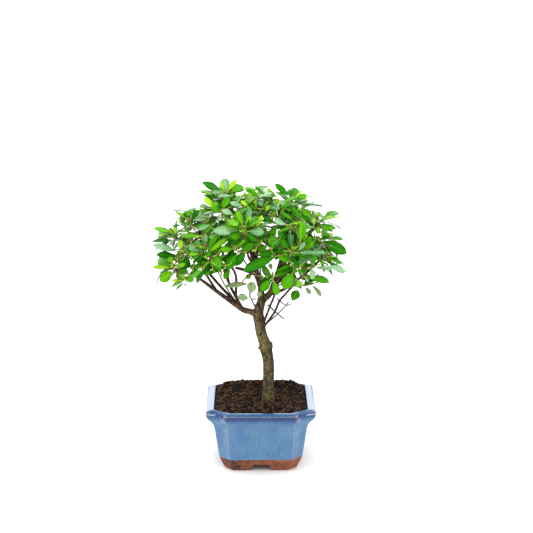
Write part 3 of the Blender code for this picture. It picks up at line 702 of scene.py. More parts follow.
def segment_distance(a: Vector, b: Vector, c: Vector, d: Vector) -> float:
    """Finds the least distance between two segments.

    Args:
        a: the start of the first.
        b: its end.
        c: the start of the second.
        d: its end.

    Returns:
        The distance in metres.
    """
    u, v, w = b - a, d - c, a - c
    uu, uv, vv, uw, vw = u.dot(u), u.dot(v), v.dot(v), u.dot(w), v.dot(w)
    spread = uu * vv - uv * uv
    s = 0.0 if spread < 1e-18 else min(1.0, max(0.0, (uv * vw - vv * uw) / spread))
    t = min(1.0, max(0.0, (uv * s + vw) / vv))
    s = min(1.0, max(0.0, (uv * t - uw) / uu))
    return (w + u * s - v * t).length


@dataclass
class Planter:
    """The planter: a square with stepped-in corners, a flared rim, and four feet with arches between."""

    centre: Vector
    # Height, half width, notch along X, notch along Y in mm, and how deep the groove goes into the notch.
    outer: tuple[Sizes, ...] = (
        (0.0, 42.6, 10.0, 10.4, 0.55),
        (1.0, 43.6, 10.2, 10.7, 0.55),
        (15.9, 49.5, 11.8, 11.3, 0.56),
        (51.8, 54.8, 15.2, 13.2, 0.64),
        (56.5, 56.1, 16.6, 13.9, 0.66),
        (61.0, 58.8, 19.0, 15.1, 0.69),
        (65.4, 62.7, 21.7, 16.6, 0.71),
        (70.3, 64.9, 23.5, 17.5, 0.73),
        (74.4, 65.0, 23.5, 17.5, 0.73),
        (75.1, 64.7, 23.4, 17.4, 0.72),
        (75.5, 63.8, 23.1, 17.0, 0.71),
        (76.5, 61.4, 22.3, 16.1, 0.66),
        (77.2, 57.8, 20.7, 14.0, 0.55),
        (76.8, 55.7, 19.9, 12.9, 0.48),
        (75.4, 54.7, 19.5, 12.5, 0.46),
    )
    inner: tuple[Sizes, ...] = (
        (68.0, 52.8, 18.5, 12.3, 0.46),
        (56.0, 49.6, 16.8, 12.0, 0.46),
        (14.0, 41.8, 13.0, 12.0, 0.46),
    )
    level_step: float = 1.1
    glaze_end: float = 15.9
    glaze_wobble: float = 0.7
    corner_round: float = 2.2
    corner_points: int = 7
    panel_points: int = 26
    notch_points: int = 5
    frame_line: float = 57.0
    frame_depth: float = 0.3
    recess: float = 8.7
    foot_wall: float = 9.0
    arch_top: float = 15.0
    arch_bottom: float = 31.0
    arch_points: int = 9
    drain_radius: float = 6.0
    drain_sides: int = 48
    drain_top: float = 13.0
    cut_below: float = -5.0
    cut_reach: float = 70.0
    # Where the glaze's marks and its painted highlights and shade lie: heights, half widths and reaches in
    # mm.
    panel_low: float = 17.0
    panel_high: float = 72.0
    panel_edge: float = 2.6
    wall_low: float = 60.0
    wall_high: float = 76.3
    mouth: float = 55.6
    brown_line: float = 74.3
    spot_height: float = 71.0
    lip: float = 75.2
    lip_half: float = 60.0
    lobe_line: float = 72.9
    lobe_long: Pair = (12.0, 4.0)
    hollow_half: float = 36.0
    hollow_top: float = 10.0
    glaze: GlazedStoneware = field(default_factory=GlazedStoneware)
    clay: BareClay = field(default_factory=BareClay)

    def levels(self) -> list[Sizes]:
        """Spaces the outline's sizes closely, from the foot up, over the rim and down inside.

        Returns:
            The outlines' sizes, as in outer.
        """
        knots = [np.array(level) for level in self.outer]
        rows: list[Sizes] = []
        for i, (start, end) in enumerate(zip(knots, knots[1:])):
            before, after = knots[max(i - 1, 0)], knots[min(i + 2, len(knots) - 1)]
            span = float(np.hypot(*(end - start)[:2]))
            pieces = max(1, round(span / self.level_step))
            leaving = (end - before) * 0.5 * span / max(span, float(np.hypot(*(start - before)[:2])), 1e-6)
            arriving = (after - start) * 0.5 * span / max(span, float(np.hypot(*(after - end)[:2])), 1e-6)
            rows += [tuple(ease(start, end, leaving, arriving, k / pieces)) for k in range(pieces)]
        return rows + [self.outer[-1]] + list(self.inner)

    def ring(self, level: Sizes, shrink: float = 0.0) -> Line:
        """Draws one outline of the planter.

        Args:
            level: its height, half width, notches and groove.
            shrink: how much smaller it is on each side, in mm.

        Returns:
            The outline's points in metres, with the same number at every level.
        """
        z, half, notch_x, notch_y, groove = level
        half -= shrink
        line = 1.0 - math.exp(-(((z - self.frame_line) / 0.8) ** 2)) * self.frame_depth / half
        quarter = [Vector((half, half - notch_y)), Vector((half - groove * notch_x, half - groove * notch_y)),
            Vector((half - notch_x, half))]
        corners: Line = []
        for sx, sy in ((1, 1), (-1, 1), (-1, -1), (1, -1)):
            turned = [Vector((p.x * sx, p.y * sy)) for p in quarter]
            corners += turned if sx * sy > 0 else turned[::-1]
        points: Line = []
        for i, corner in enumerate(corners):
            before = corners[i - 1] - corner
            after = corners[(i + 1) % 12] - corner
            start = corner + before * min(self.corner_round / before.length, 0.45)
            end = corner + after * min(self.corner_round / after.length, 0.45)
            for k in range(self.corner_points):
                t = k / (self.corner_points - 1)
                points.append(start * (1 - t) ** 2 + corner * 2 * t * (1 - t) + end * t**2)
            next_start = corners[(i + 1) % 12] - after * min(self.corner_round / after.length, 0.45)
            count = self.panel_points if i % 3 == 2 else self.notch_points
            for k in range(1, count):
                points.append(end.lerp(next_start, k / count))
        return [self.centre + Vector((p.x * line * MM, p.y * line * MM, z * MM)) for p in points]

    def shell(self) -> Piece:
        """Makes the bowl as one closed loft, with its materials meeting at the glaze's uneven lower edge.

        Returns:
            The bowl.
        """
        rows = self.levels()
        border = min(range(len(rows)), key=lambda i: abs(rows[i][0] - self.glaze_end))
        rings = []
        for i, row in enumerate(rows):
            ring = self.ring(row)
            near = math.exp(-((i - border) / 1.5) ** 2)
            for p in ring:
                wave = noise.noise(Vector((p.x, p.y, 0.0)) / (9.0 * MM)) + 0.5 * noise.noise(p / (3.0 * MM))
                p.z += wave * self.glaze_wobble * MM * near
            rings.append(ring)
        points, faces = loft(rings)
        bare = border * len(rings[0])
        batch = Batch("planter")
        batch.add(points, faces, [1, 0] + [1] * bare + [0] * (len(faces) - 2 - bare))
        return batch.make([self.glaze.build(), self.clay.build()])

    def cutters(self) -> list[Piece]:
        """Makes the cutters of the recess, of the drain hole and of the two arches through the feet.

        Returns:
            The cutters.
        """
        inner = self.outer[0][1] - self.foot_wall
        square = [(-inner, -inner), (inner, -inner), (inner, inner), (-inner, inner)]
        turns = [2 * math.pi * k / self.drain_sides for k in range(self.drain_sides)]
        drain = [(self.drain_radius * math.cos(a), self.drain_radius * math.sin(a)) for a in turns]
        side = [(self.arch_bottom / 2, -1.0)]
        for k in range(self.arch_points):
            t = k / (self.arch_points - 1)
            across = self.arch_bottom / 2 + (self.arch_top - self.arch_bottom) / 2 * t
            side.append((across, (self.recess + 0.02) * (0.5 - 0.5 * math.cos(math.pi * t))))
        arch = side + [(-x, z) for x, z in side[::-1]]
        centre, low, ends = self.centre, self.cut_below, (-self.cut_reach, self.cut_reach)
        return [
            prism("recess", *([centre + mm(x, y, z) for x, y in square] for z in (low, self.recess))),
            prism("drain", *([centre + mm(x, y, z) for x, y in drain] for z in (low, self.drain_top))),
            prism("arch_side", *([centre + mm(end, x, z) for x, z in arch] for end in ends)),
            prism("arch_front", *([centre + mm(x, end, z) for x, z in arch] for end in ends)),
        ]

    def mark_edges(self, piece: Piece) -> None:
        """Marks the points near a panel's edge, near the rim's edge, on its painted glints and in the painted
        shade under the planter.

        Args:
            piece: the planter.
        """
        mesh = piece.data
        points, normals = np.empty((2, len(mesh.vertices) * 3))
        mesh.vertices.foreach_get("co", points)
        mesh.vertices.foreach_get("normal", normals)
        points = (points.reshape(-1, 3) - np.array(self.centre)) / MM
        inward = (normals.reshape(-1, 3)[:, :2] * points[:, :2]).sum(axis=1) < 0.0
        z = points[:, 2]
        heights, *sizes = zip(*(level[:4] for level in self.outer[:9]))
        half, notch_x, notch_y = (np.interp(z, heights, size) for size in sizes)
        x, y = np.abs(points[:, 0]), np.abs(points[:, 1])
        far = np.maximum(x, y)
        near = np.minimum(np.hypot(x - half, y - (half - notch_y)), np.hypot(x - (half - notch_x), y - half))

        def band(height: float, wide: float, power: int = 2) -> np.ndarray:
            """How near each point lies to a height: 1 at it, and about 0 beyond the band's width."""
            return np.exp(-(((z - height) / wide) ** power))

        # Painted highlight and painted shade on each panel's edges, and faintly along the crease at the rim's
        # flare.
        on_panel = (x < half - notch_x - 3) | (y < half - notch_y - 3)
        frame = 0.56 * band(self.frame_line, 0.5) * on_panel
        panel = np.maximum(1.0 - near / self.panel_edge, frame) * (z < self.panel_high) * (z > self.panel_low)
        # The glaze is thin and brown on the rim's edge. The same brown is painted shade down the inside of
        # the rim and in a spot under each corner.
        rim = band(self.brown_line, 0.8, 4) * (far > self.mouth + 0.4)
        rim = np.maximum(rim, inward * (far < self.mouth) * (z > self.wall_low) * (z < self.wall_high))
        rim = np.maximum(rim, 0.7 * np.exp(-(near / 1.3) ** 2) * (np.abs(z - self.spot_height) < 3.0))
        # Painted highlights: a pale line along the lip, a spot at each corner of the lip, and, where the
        # rim's lobes face the front, a streak on the edge under the brown line.
        corner_glint = np.exp(-(near / 1.4) ** 2) * band(self.lip, 0.7)
        lobe = (x > half - self.lobe_long[0]) * (y > half - notch_y - self.lobe_long[1])
        line = 0.3 * band(self.lip, 0.25) * (far > self.lip_half)
        glint = np.maximum(np.maximum(line, 0.8 * lobe * band(self.lobe_line, 0.6, 4)), corner_glint)
        # Painted shade in the recess under the planter.
        hollow = (far < self.hollow_half) * (z < self.hollow_top)
        keep_values(mesh, {"panel_edge": np.clip(panel, 0.0, 1.0), "rim_edge": rim, "rim_glint": glint,
            "hollow": hollow})

    def build(self) -> None:
        """Builds the planter and ties it to its node."""
        piece = self.shell()
        cutters = self.cutters()
        for cutter in cutters:
            cut = piece.modifiers.new(cutter.name, "BOOLEAN")
            cut.operation = "DIFFERENCE"
            cut.object = cutter
        apply_modifiers(piece)
        for cutter in cutters:
            bpy.data.objects.remove(cutter)
        self.mark_edges(piece)
        piece.data.shade_smooth()
        piece.data.set_sharp_from_angle(angle=math.radians(38))
        settle(piece, Slot.GLAZE, ["pot"])


@dataclass
class PottingSoil:
    """Damp peat with bark crumbs, grit and fibres, heaped a little at the back."""

    planter: Planter
    level: float = 77.5
    edge_level: float = 74.3
    floor: float = 14.3
    half: float = 54.0
    top_outline: Sizes = (54.4, 19.4, 12.5, 0.46)
    heap: float = 7.3
    heap_place: float = 43.0
    heap_width: float = 13.0
    heap_half: float = 56.0
    # The top's lumps: how high they are, how wide, and a number that sets each kind apart.
    lumps: tuple[Place, ...] = ((1.5, 11.0, 3.0), (1.2, 4.0, 9.0))
    crumbly: Place = (0.6, 1.6, 5.0)
    rings: int = 70
    crumbs: int = 7000
    lump_kinds: int = 14
    large_crumb: float = 1.6
    fibres: int = 900
    tufts: int = 80
    inset: float = 0.3
    trunk_x: float = 9.2
    trunk_y: float = -8.0
    trunk_room: float = 8.5
    seed: int = 611
    draw: random.Random = field(default_factory=random.Random)

    def height(self, x: float, y: float) -> float:
        """Finds the soil's height.

        Args:
            x: the place's X in mm.
            y: its Y in mm.

        Returns:
            The height in mm.
        """
        edge = max(abs(x), abs(y)) / self.half
        inside = max(0.0, 1.0 - edge**8)
        heap = self.heap * math.exp(-(((y - self.heap_place) / self.heap_width) ** 2))
        heap *= max(0.0, 1.0 - (abs(x) / self.heap_half) ** 4)
        bumps = [high * noise.noise(Vector((x, y, kind)) / wide) for high, wide, kind in
            (*self.lumps, self.crumbly)]
        rise = (self.level - self.edge_level) * (1.0 - edge**4)
        skirt = min(1.0, 8.0 * (1.0 - edge) + 0.2)
        return self.edge_level + rise + (heap + sum(bumps[:-1])) * inside + bumps[-1] * skirt

    def holds(self, x: float, y: float, room: float) -> bool:
        """Whether a place in mm lies inside the planter's mouth, some way from its wall."""
        across = self.half - room
        return abs(x) < across and abs(y) < across and abs(x) * 0.64 + abs(y) < across * 1.64 - 12.5

    def lay(self, batch: Batch, stuff: GroundStuff) -> None:
        """Makes a batch of one stuff and ties it to the soil."""
        settle(batch.make([stuff.build()]), Slot.SOIL, ["soil"])

    def lay_bed(self) -> None:
        """Lays the soil's body, which fills the planter and has a lumpy top."""
        centre = self.planter.centre
        wall = [self.planter.ring(level, self.inset) for level in self.planter.inner[::-1]]
        wall[0] = [Vector((p.x, p.y, self.floor * MM)) for p in wall[0]]
        top = self.planter.ring((self.edge_level, *self.top_outline), self.inset)
        rings = wall + [top]
        middle = centre.to_2d() + Vector((self.trunk_x, self.trunk_y)) * MM
        for k in range(1, self.rings):
            ring = []
            for p in top:
                flat = middle.lerp(p.to_2d(), 1.0 - k / self.rings)
                x, y = (flat.x - centre.x) / MM, (flat.y - centre.y) / MM
                ring.append(Vector((flat.x, flat.y, self.height(x, y) * MM)))
            rings.append(ring)
        batch = Batch("soil_bed")
        batch.add(*loft(rings))
        self.lay(batch, GroundStuff("damp_peat", "#070402", "#1E130C", 1.6))

    def lump_shapes(self, level: int) -> list[Shape]:
        """Makes some uneven lumps of unit size to scatter, from a ball of flat faces.

        Args:
            level: how finely the ball is divided.

        Returns:
            The lumps.
        """
        ball = bmesh.new()
        bmesh.ops.create_icosphere(ball, subdivisions=level, radius=1.0)
        points = np.array([tuple(v.co) for v in ball.verts])
        faces = [[v.index for v in f.verts] for f in ball.faces]
        ball.free()
        shapes = []
        for _ in range(self.lump_kinds):
            jitter = np.array([[self.draw.uniform(0.62, 1.2)] for _ in points])
            squash = np.array([1.0, self.draw.uniform(0.55, 0.9), self.draw.uniform(0.4, 0.75)])
            shapes.append((points * jitter * squash, faces))
        return shapes

    def scatter(self) -> None:
        """Strews crumbs, grit, bark chips, fibres and moss over the bed, each kind one piece."""
        self.draw = random.Random(self.seed)
        small, large = self.lump_shapes(1), self.lump_shapes(2)
        # Each kind's finish, its share of all the crumbs and its least and greatest size in mm.
        kinds = {
            "soil_crumbs_dark": (GroundStuff("wet_peat_crumb", "#050302", "#24160D"), 0.44, 0.8, 3.3),
            "soil_crumbs_brown": (GroundStuff("dry_peat_crumb", "#2C1A0F", "#6E4C33"), 0.38, 0.7, 2.7),
            "soil_crumbs_pale": (GroundStuff("fibrous_crumb", "#5A3E26", "#A07C58"), 0.1, 0.7, 1.6),
            "soil_grit": (GroundStuff("pale_grit", "#9A8A7A", "#EFE8DE", 0.8, 0.5), 0.09, 0.35, 0.7),
            "soil_bark_chips": (GroundStuff("bark_chip", "#5E2E1C", "#96583A"), 0.014, 1.0, 2.4),
        }
        for name, (stuff, share, least, most) in kinds.items():
            batch = Batch(name)
            for _ in range(round(self.crumbs * share)):
                x, y = self.draw.uniform(-self.half, self.half), self.draw.uniform(-self.half, self.half)
                size = least + (most - least) * self.draw.random() ** 2.2
                by_trunk = math.hypot(x - self.trunk_x, y - self.trunk_y) < self.trunk_room
                if by_trunk or not self.holds(x, y, size + 0.4):
                    continue
                points, faces = self.draw.choice(large if size > self.large_crumb else small)
                turn = Matrix.Rotation(self.draw.uniform(0, 2 * math.pi), 3, "Z")
                tip = Matrix.Rotation(self.draw.uniform(-0.7, 0.7), 3, "X")
                z = self.height(x, y) + size * self.draw.uniform(-0.1, 0.45)
                place = np.array(self.planter.centre + mm(x, y, z))
                batch.add(points @ np.array(turn @ tip).T * size * MM + place, faces)
            self.lay(batch, stuff)
        self.strew_fibres()
        self.tuft_moss(small)

    def strew_fibres(self) -> None:
        """Lays short bent fibres of peat over the crumbs."""
        batch = Batch("soil_fibres")
        for _ in range(self.fibres):
            x, y = self.draw.uniform(-self.half, self.half), self.draw.uniform(-self.half, self.half)
            length, angle = self.draw.uniform(2.5, 7.5), self.draw.uniform(0, math.pi)
            dx, dy = math.cos(angle) * length / 2, math.sin(angle) * length / 2
            if not all(self.holds(x + s * dx, y + s * dy, 1.0) for s in (-1, 1)):
                continue
            line = []
            for s in (-1.0, -0.5, 0.0, 0.5, 1.0):
                bend = self.draw.uniform(-0.5, 0.5)
                px, py = x + dx * s + bend * 0.4, y + dy * s + bend * 0.4
                line.append(self.planter.centre
                    + mm(px, py, self.height(px, py) + 0.75 + 0.5 * bend - 0.5 * s * s))
            radius = self.draw.uniform(0.12, 0.26) * MM
            batch.add(*tube(line, [radius * 0.6, radius, radius, radius, radius * 0.5], 4))
        self.lay(batch, GroundStuff("peat_fibre", "#4A3020", "#8E6A48", 2.0))

    def tuft_moss(self, shapes: list[Shape]) -> None:
        """Sets small moss tufts round the trunk's foot, most of them in front.

        Args:
            shapes: the lumps that the tufts are made of.
        """
        batch = Batch("moss_tufts")
        for _ in range(self.tufts):
            angle = self.draw.gauss(-math.pi / 2, 1.3)
            reach = self.trunk_room - 0.9 + abs(self.draw.gauss(0.0, 1.0))
            x, y = self.trunk_x + math.cos(angle) * reach, self.trunk_y + math.sin(angle) * reach
            points, faces = self.draw.choice(shapes)
            size = self.draw.uniform(0.3, 0.8)
            place = np.array(self.planter.centre + mm(x, y, self.height(x, y) + size * 0.5))
            batch.add(points * size * MM + place, faces)
        self.lay(batch, GroundStuff("cushion_moss", "#2C370A", "#7C8C22", 0.6))

    def build(self) -> None:
        """Builds the soil and all that lies on it."""
        self.lay_bed()
        self.scatter()


@dataclass
class Limb:
    """A tapering limb: the share of its parent where it leaves, and its radii and places in mm."""

    name: str
    parent: str
    share: float
    radius: float
    tip_radius: float
    places: list[Place]
    path: Line = field(default_factory=list)
    radii: list[float] = field(default_factory=list)

    @property
    def tip(self) -> Vector:
        """The limb's tip."""
        return self.path[-1]

    @property
    def heading(self) -> Vector:
        """The way that the limb points at its tip."""
        return (self.path[-1] - self.path[-2]).normalized()


class Mood(Enum):
    """How fresh a mass's leaves are."""

    FRESH = "fresh"
    FULL = "full"
    SHADED = "shaded"
    DULL = "dull"


@dataclass
class Mass:
    """A mass of foliage: the limb that carries it, its leading shoot, how it is filled, and its height."""

    name: str
    limb: str
    leader: Vector
    shoots: int = 6
    fine_shoots: int = 7
    leaves: int = 7
    leaf_scale: float = 1.0
    floor: float = 212.0
    trunk_height: float = 0.0
    mood: Mood = Mood.FULL
    ceiling: float = 346.0


TRUNK_LINE: list[tuple[Place, float]] = [
    ((9.2, -8.0, 77.8), 8.0), ((9.2, -8.0, 80.5), 7.6), ((9.2, -8.0, 88.0), 7.0),
    ((9.6, -7.0, 109.0), 6.6), ((9.6, -6.0, 119.0), 6.65), ((8.4, -5.0, 131.0), 6.75),
    ((6.1, -4.0, 141.0), 7.4), ((4.9, -4.0, 147.0), 7.0), ((2.5, -3.0, 153.0), 6.5),
    ((0.4, -2.0, 161.0), 6.2), ((-0.8, -1.0, 171.0), 6.8), ((-2.6, 0.0, 180.0), 6.6),
    ((-1.6, 0.0, 188.0), 6.0), ((1.6, 0.0, 198.0), 5.0),
]

# A root's line and radius, in mm out from the trunk's middle and up from the ground.
ROOT_LINE: list[Place] = [(3.2, 15.0, 2.6), (5.0, 6.0, 2.5), (6.5, 0.5, 2.1), (9.5, -4.0, 1.8)]

# A knob where a limb was cut off, a small stub and the cut leader: where, which way, length and radii.
TRUNK_STUBS: list[tuple[Place, Place, float, float, float]] = [
    ((6.0, -4.5, 143.2), (1.0, -0.25, 0.1), 8.2, 5.6, 4.3),
    ((6.0, -4.0, 139.0), (-1.0, -0.2, 0.25), 9.2, 2.4, 1.5),
    ((-1.5, -1.5, 186.0), (-0.35, -0.25, 0.9), 10.5, 2.8, 1.9),
]

LIMBS: list[Limb] = [
    Limb("bough_left", "trunk", 0.86, 4.3, 1.6,
         [(-11, 0, 184), (-21, -1, 187.5), (-33, -4, 197), (-57, -9, 216), (-76, -12, 231)]),
    Limb("bough_left_upper", "bough_left", 0.3, 2.0, 1.4, [(-46, 4, 213), (-60, 6, 229), (-76, 4, 247)]),
    Limb("bough_left_upright", "bough_left", 0.24, 1.9, 1.4,
         [(-28.5, -6, 205), (-29, -12, 232), (-38, -27, 250)]),
    Limb("bough_left_inner", "bough_left", 0.28, 1.9, 1.4, [(-34, 4, 211), (-42, 8, 230), (-50, 8, 250)]),
    Limb("bough_centre", "trunk", 0.97, 3.5, 1.6,
         [(1.5, 1.5, 208), (-3, 2, 230), (-9, 0, 252), (-20, -4, 276)]),
    Limb("bough_right", "trunk", 0.99, 4.2, 1.6, [(10.5, 0, 206), (17, 0, 222), (24, 2, 245), (30, 3, 270)]),
    Limb("bough_top", "bough_centre", 0.38, 1.9, 1.4, [(-3, -5, 262), (0, -7, 280)]),
    Limb("bough_front", "bough_centre", 0.27, 1.9, 1.4, [(-6, -14, 243), (-14, -30, 259)]),
    Limb("bough_back", "bough_centre", 0.32, 1.9, 1.4, [(-7, 16, 250), (-6, 29, 266)]),
    Limb("bough_front_right", "bough_right", 0.28, 1.9, 1.4, [(25, -17, 233), (31, -35, 247)]),
    Limb("bough_right_upper", "bough_right", 0.46, 2.1, 1.4, [(40, 4, 257), (55, 2, 275)]),
    Limb("bough_right_side", "bough_right", 0.13, 2.2, 1.4, [(28, -2, 212.5), (48, -5, 228), (66, -9, 246)]),
    Limb("bough_back_right", "bough_right", 0.35, 1.9, 1.4, [(31, 18, 250), (39, 35, 266)]),
    Limb("bough_back_right_low", "bough_right", 0.17, 2.0, 1.4, [(24, 18, 218), (43, 42, 234)]),
    Limb("bough_back_low", "trunk", 0.96, 2.4, 1.4, [(-1, 16, 208), (-8, 42, 226), (-11, 63, 241)]),
    Limb("bough_back_left", "bough_left_inner", 0.36, 1.6, 1.4, [(-42, 24, 241), (-50, 36, 263)]),
    Limb("bough_back_left_low", "bough_left", 0.42, 1.9, 1.4, [(-50, 8, 206), (-66, 31, 224)]),
    Limb("whip_front", "trunk", 0.755, 1.5, 1.3, [(10.5, -10, 192), (15, -18, 206), (17, -38, 222)]),
    Limb("whip_right", "trunk", 0.735, 1.5, 1.3, [(17, -9, 187), (22.5, -12, 201)]),
]

# The limbs that run into the trunk with one bark, and so are made in one piece with it.
THICK_LIMBS = ("bough_left", "bough_centre", "bough_right")

# Fine bare twigs that show under the crown: their places in mm and their radii at both ends.
BARE_TWIGS: list[tuple[list[Place], float, float]] = [
    ([(-31, -2, 200), (-42, -7, 219), (-52, -12, 241), (-58, -16, 252)], 0.95, 0.75),
    ([(8.3, -12, 196.5), (16.5, -14, 189), (22, -14, 184), (28, -14, 179)], 1.05, 0.85),
    ([(19, -13, 204), (25, -12, 199), (30.5, -9, 194.5), (36, -8, 196)], 0.9, 0.6),
    ([(6, -8, 171), (18, -11, 182.5), (29, -8, 193), (33, -7, 198)], 1.05, 0.7),
    ([(-2, 0, 229), (-15, -4, 235), (-22, -8, 238.5), (-29, -11, 241)], 2.3, 1.8),
    ([(-6, 6, 226), (-15, 2, 240), (-22, -2, 252)], 1.1, 0.8),
]

# The mass whose whip is drawn among the bare twigs.
BARE_WHIP = "leaves_lone_whip"

MASSES: list[Mass] = [
    Mass("leaves_crown_peak", "bough_centre", mm(-41, -10, 330), floor=270, mood=Mood.FRESH, ceiling=340),
    Mass("leaves_crown_middle", "bough_top", mm(-3, -7, 325), 7, floor=270, mood=Mood.FRESH, ceiling=334),
    Mass("leaves_crown_right", "bough_right", mm(37, 0, 318), floor=265, ceiling=332),
    Mass("leaves_back_top", "bough_back", mm(-6, 44, 312), 7, floor=260, ceiling=320),
    Mass("leaves_back_top_right", "bough_back_right", mm(47, 54, 293), floor=250, ceiling=308),
    Mass("leaves_back_top_left", "bough_back_left", mm(-58, 50, 293), floor=250, ceiling=304),
    Mass("leaves_left_upper", "bough_left_inner", mm(-80, -5, 299), floor=250, ceiling=309),
    Mass("leaves_front", "bough_front", mm(-19, -60, 298), floor=262, mood=Mood.FRESH),
    Mass("leaves_front_left", "bough_left_upright", mm(-60, -55, 275), floor=240),
    Mass("leaves_front_right", "bough_front_right", mm(35, -60, 272), floor=243),
    Mass("leaves_right_upper", "bough_right_upper", mm(76, 0, 301), floor=250, mood=Mood.FRESH, ceiling=309),
    Mass("leaves_right_side", "bough_right_side", mm(82, -14, 264), 6, 4, floor=236),
    Mass("leaves_left_low", "bough_left", mm(-102, -12, 239), 5, 2, 5, floor=222, mood=Mood.FRESH),
    Mass("leaves_left_side", "bough_left_upper", mm(-100, 0, 276), 5, 3, 5, floor=240, mood=Mood.FRESH,
        ceiling=296),
    Mass("leaves_front_low", "whip_front", mm(14, -58, 242), 2, 0, 3, 0.85, 226, mood=Mood.SHADED),
    Mass("leaves_right_low", "whip_right", mm(46, -22, 231), 3, 0, 5, floor=215, mood=Mood.SHADED),
    Mass("leaves_back_left_low", "bough_back_left_low", mm(-83, 55, 250), 5, 3, floor=236, mood=Mood.SHADED),
    Mass("leaves_back_low", "bough_back_low", mm(-12, 86, 260), floor=238, mood=Mood.SHADED),
    Mass("leaves_back_right_low", "bough_back_right_low", mm(65, 64, 254), 5, 4, floor=240, mood=Mood.SHADED),
    Mass("leaves_fork_shoot", "trunk", mm(-13, -16, 207), 1, 0, 0, 0.6, 190, 186, Mood.DULL),
    Mass("leaves_lone_whip", "trunk", mm(33, -7, 197), 1, 0, 0, 1.0, 180, 167),
]

# The way from the crown to someone who looks at its front. No leaf of the rule hides a chosen one from there.
SIGHT = Vector((0.0, -1.0, 0.25)).normalized()


class Tone(Enum):
    """The leaves' tones, from this spring's to last year's, and one with a painted sheen."""

    YOUNG = LeafSkin("young", "#76BA0C", "#A8D82C", "#C8E562", "#98C83C", 0.42)
    FRESH = LeafSkin("fresh", "#4A9C04", "#74BC16", "#98C844", "#7CB030", 0.34)
    FULL = LeafSkin("full", "#267C02", "#4C9C0C", "#74B038", "#649C26", 0.3)
    DEEP = LeafSkin("deep", "#125A02", "#2A7E08", "#569630", "#508C20", 0.27)
    # A pale grey-green painted sheen in patches over the upper face, where a glossy leaf would reflect the
    # sky.
    WAXY = LeafSkin("waxy", "#2A7A20", "#8CB888", "#A3C79F", "#6A9E34", 0.24, 0.6, 1.5)
    DULL = LeafSkin("dull", "#7C9C64", "#9DB886", "#A9C08F", "#93AE7C", 0.5)


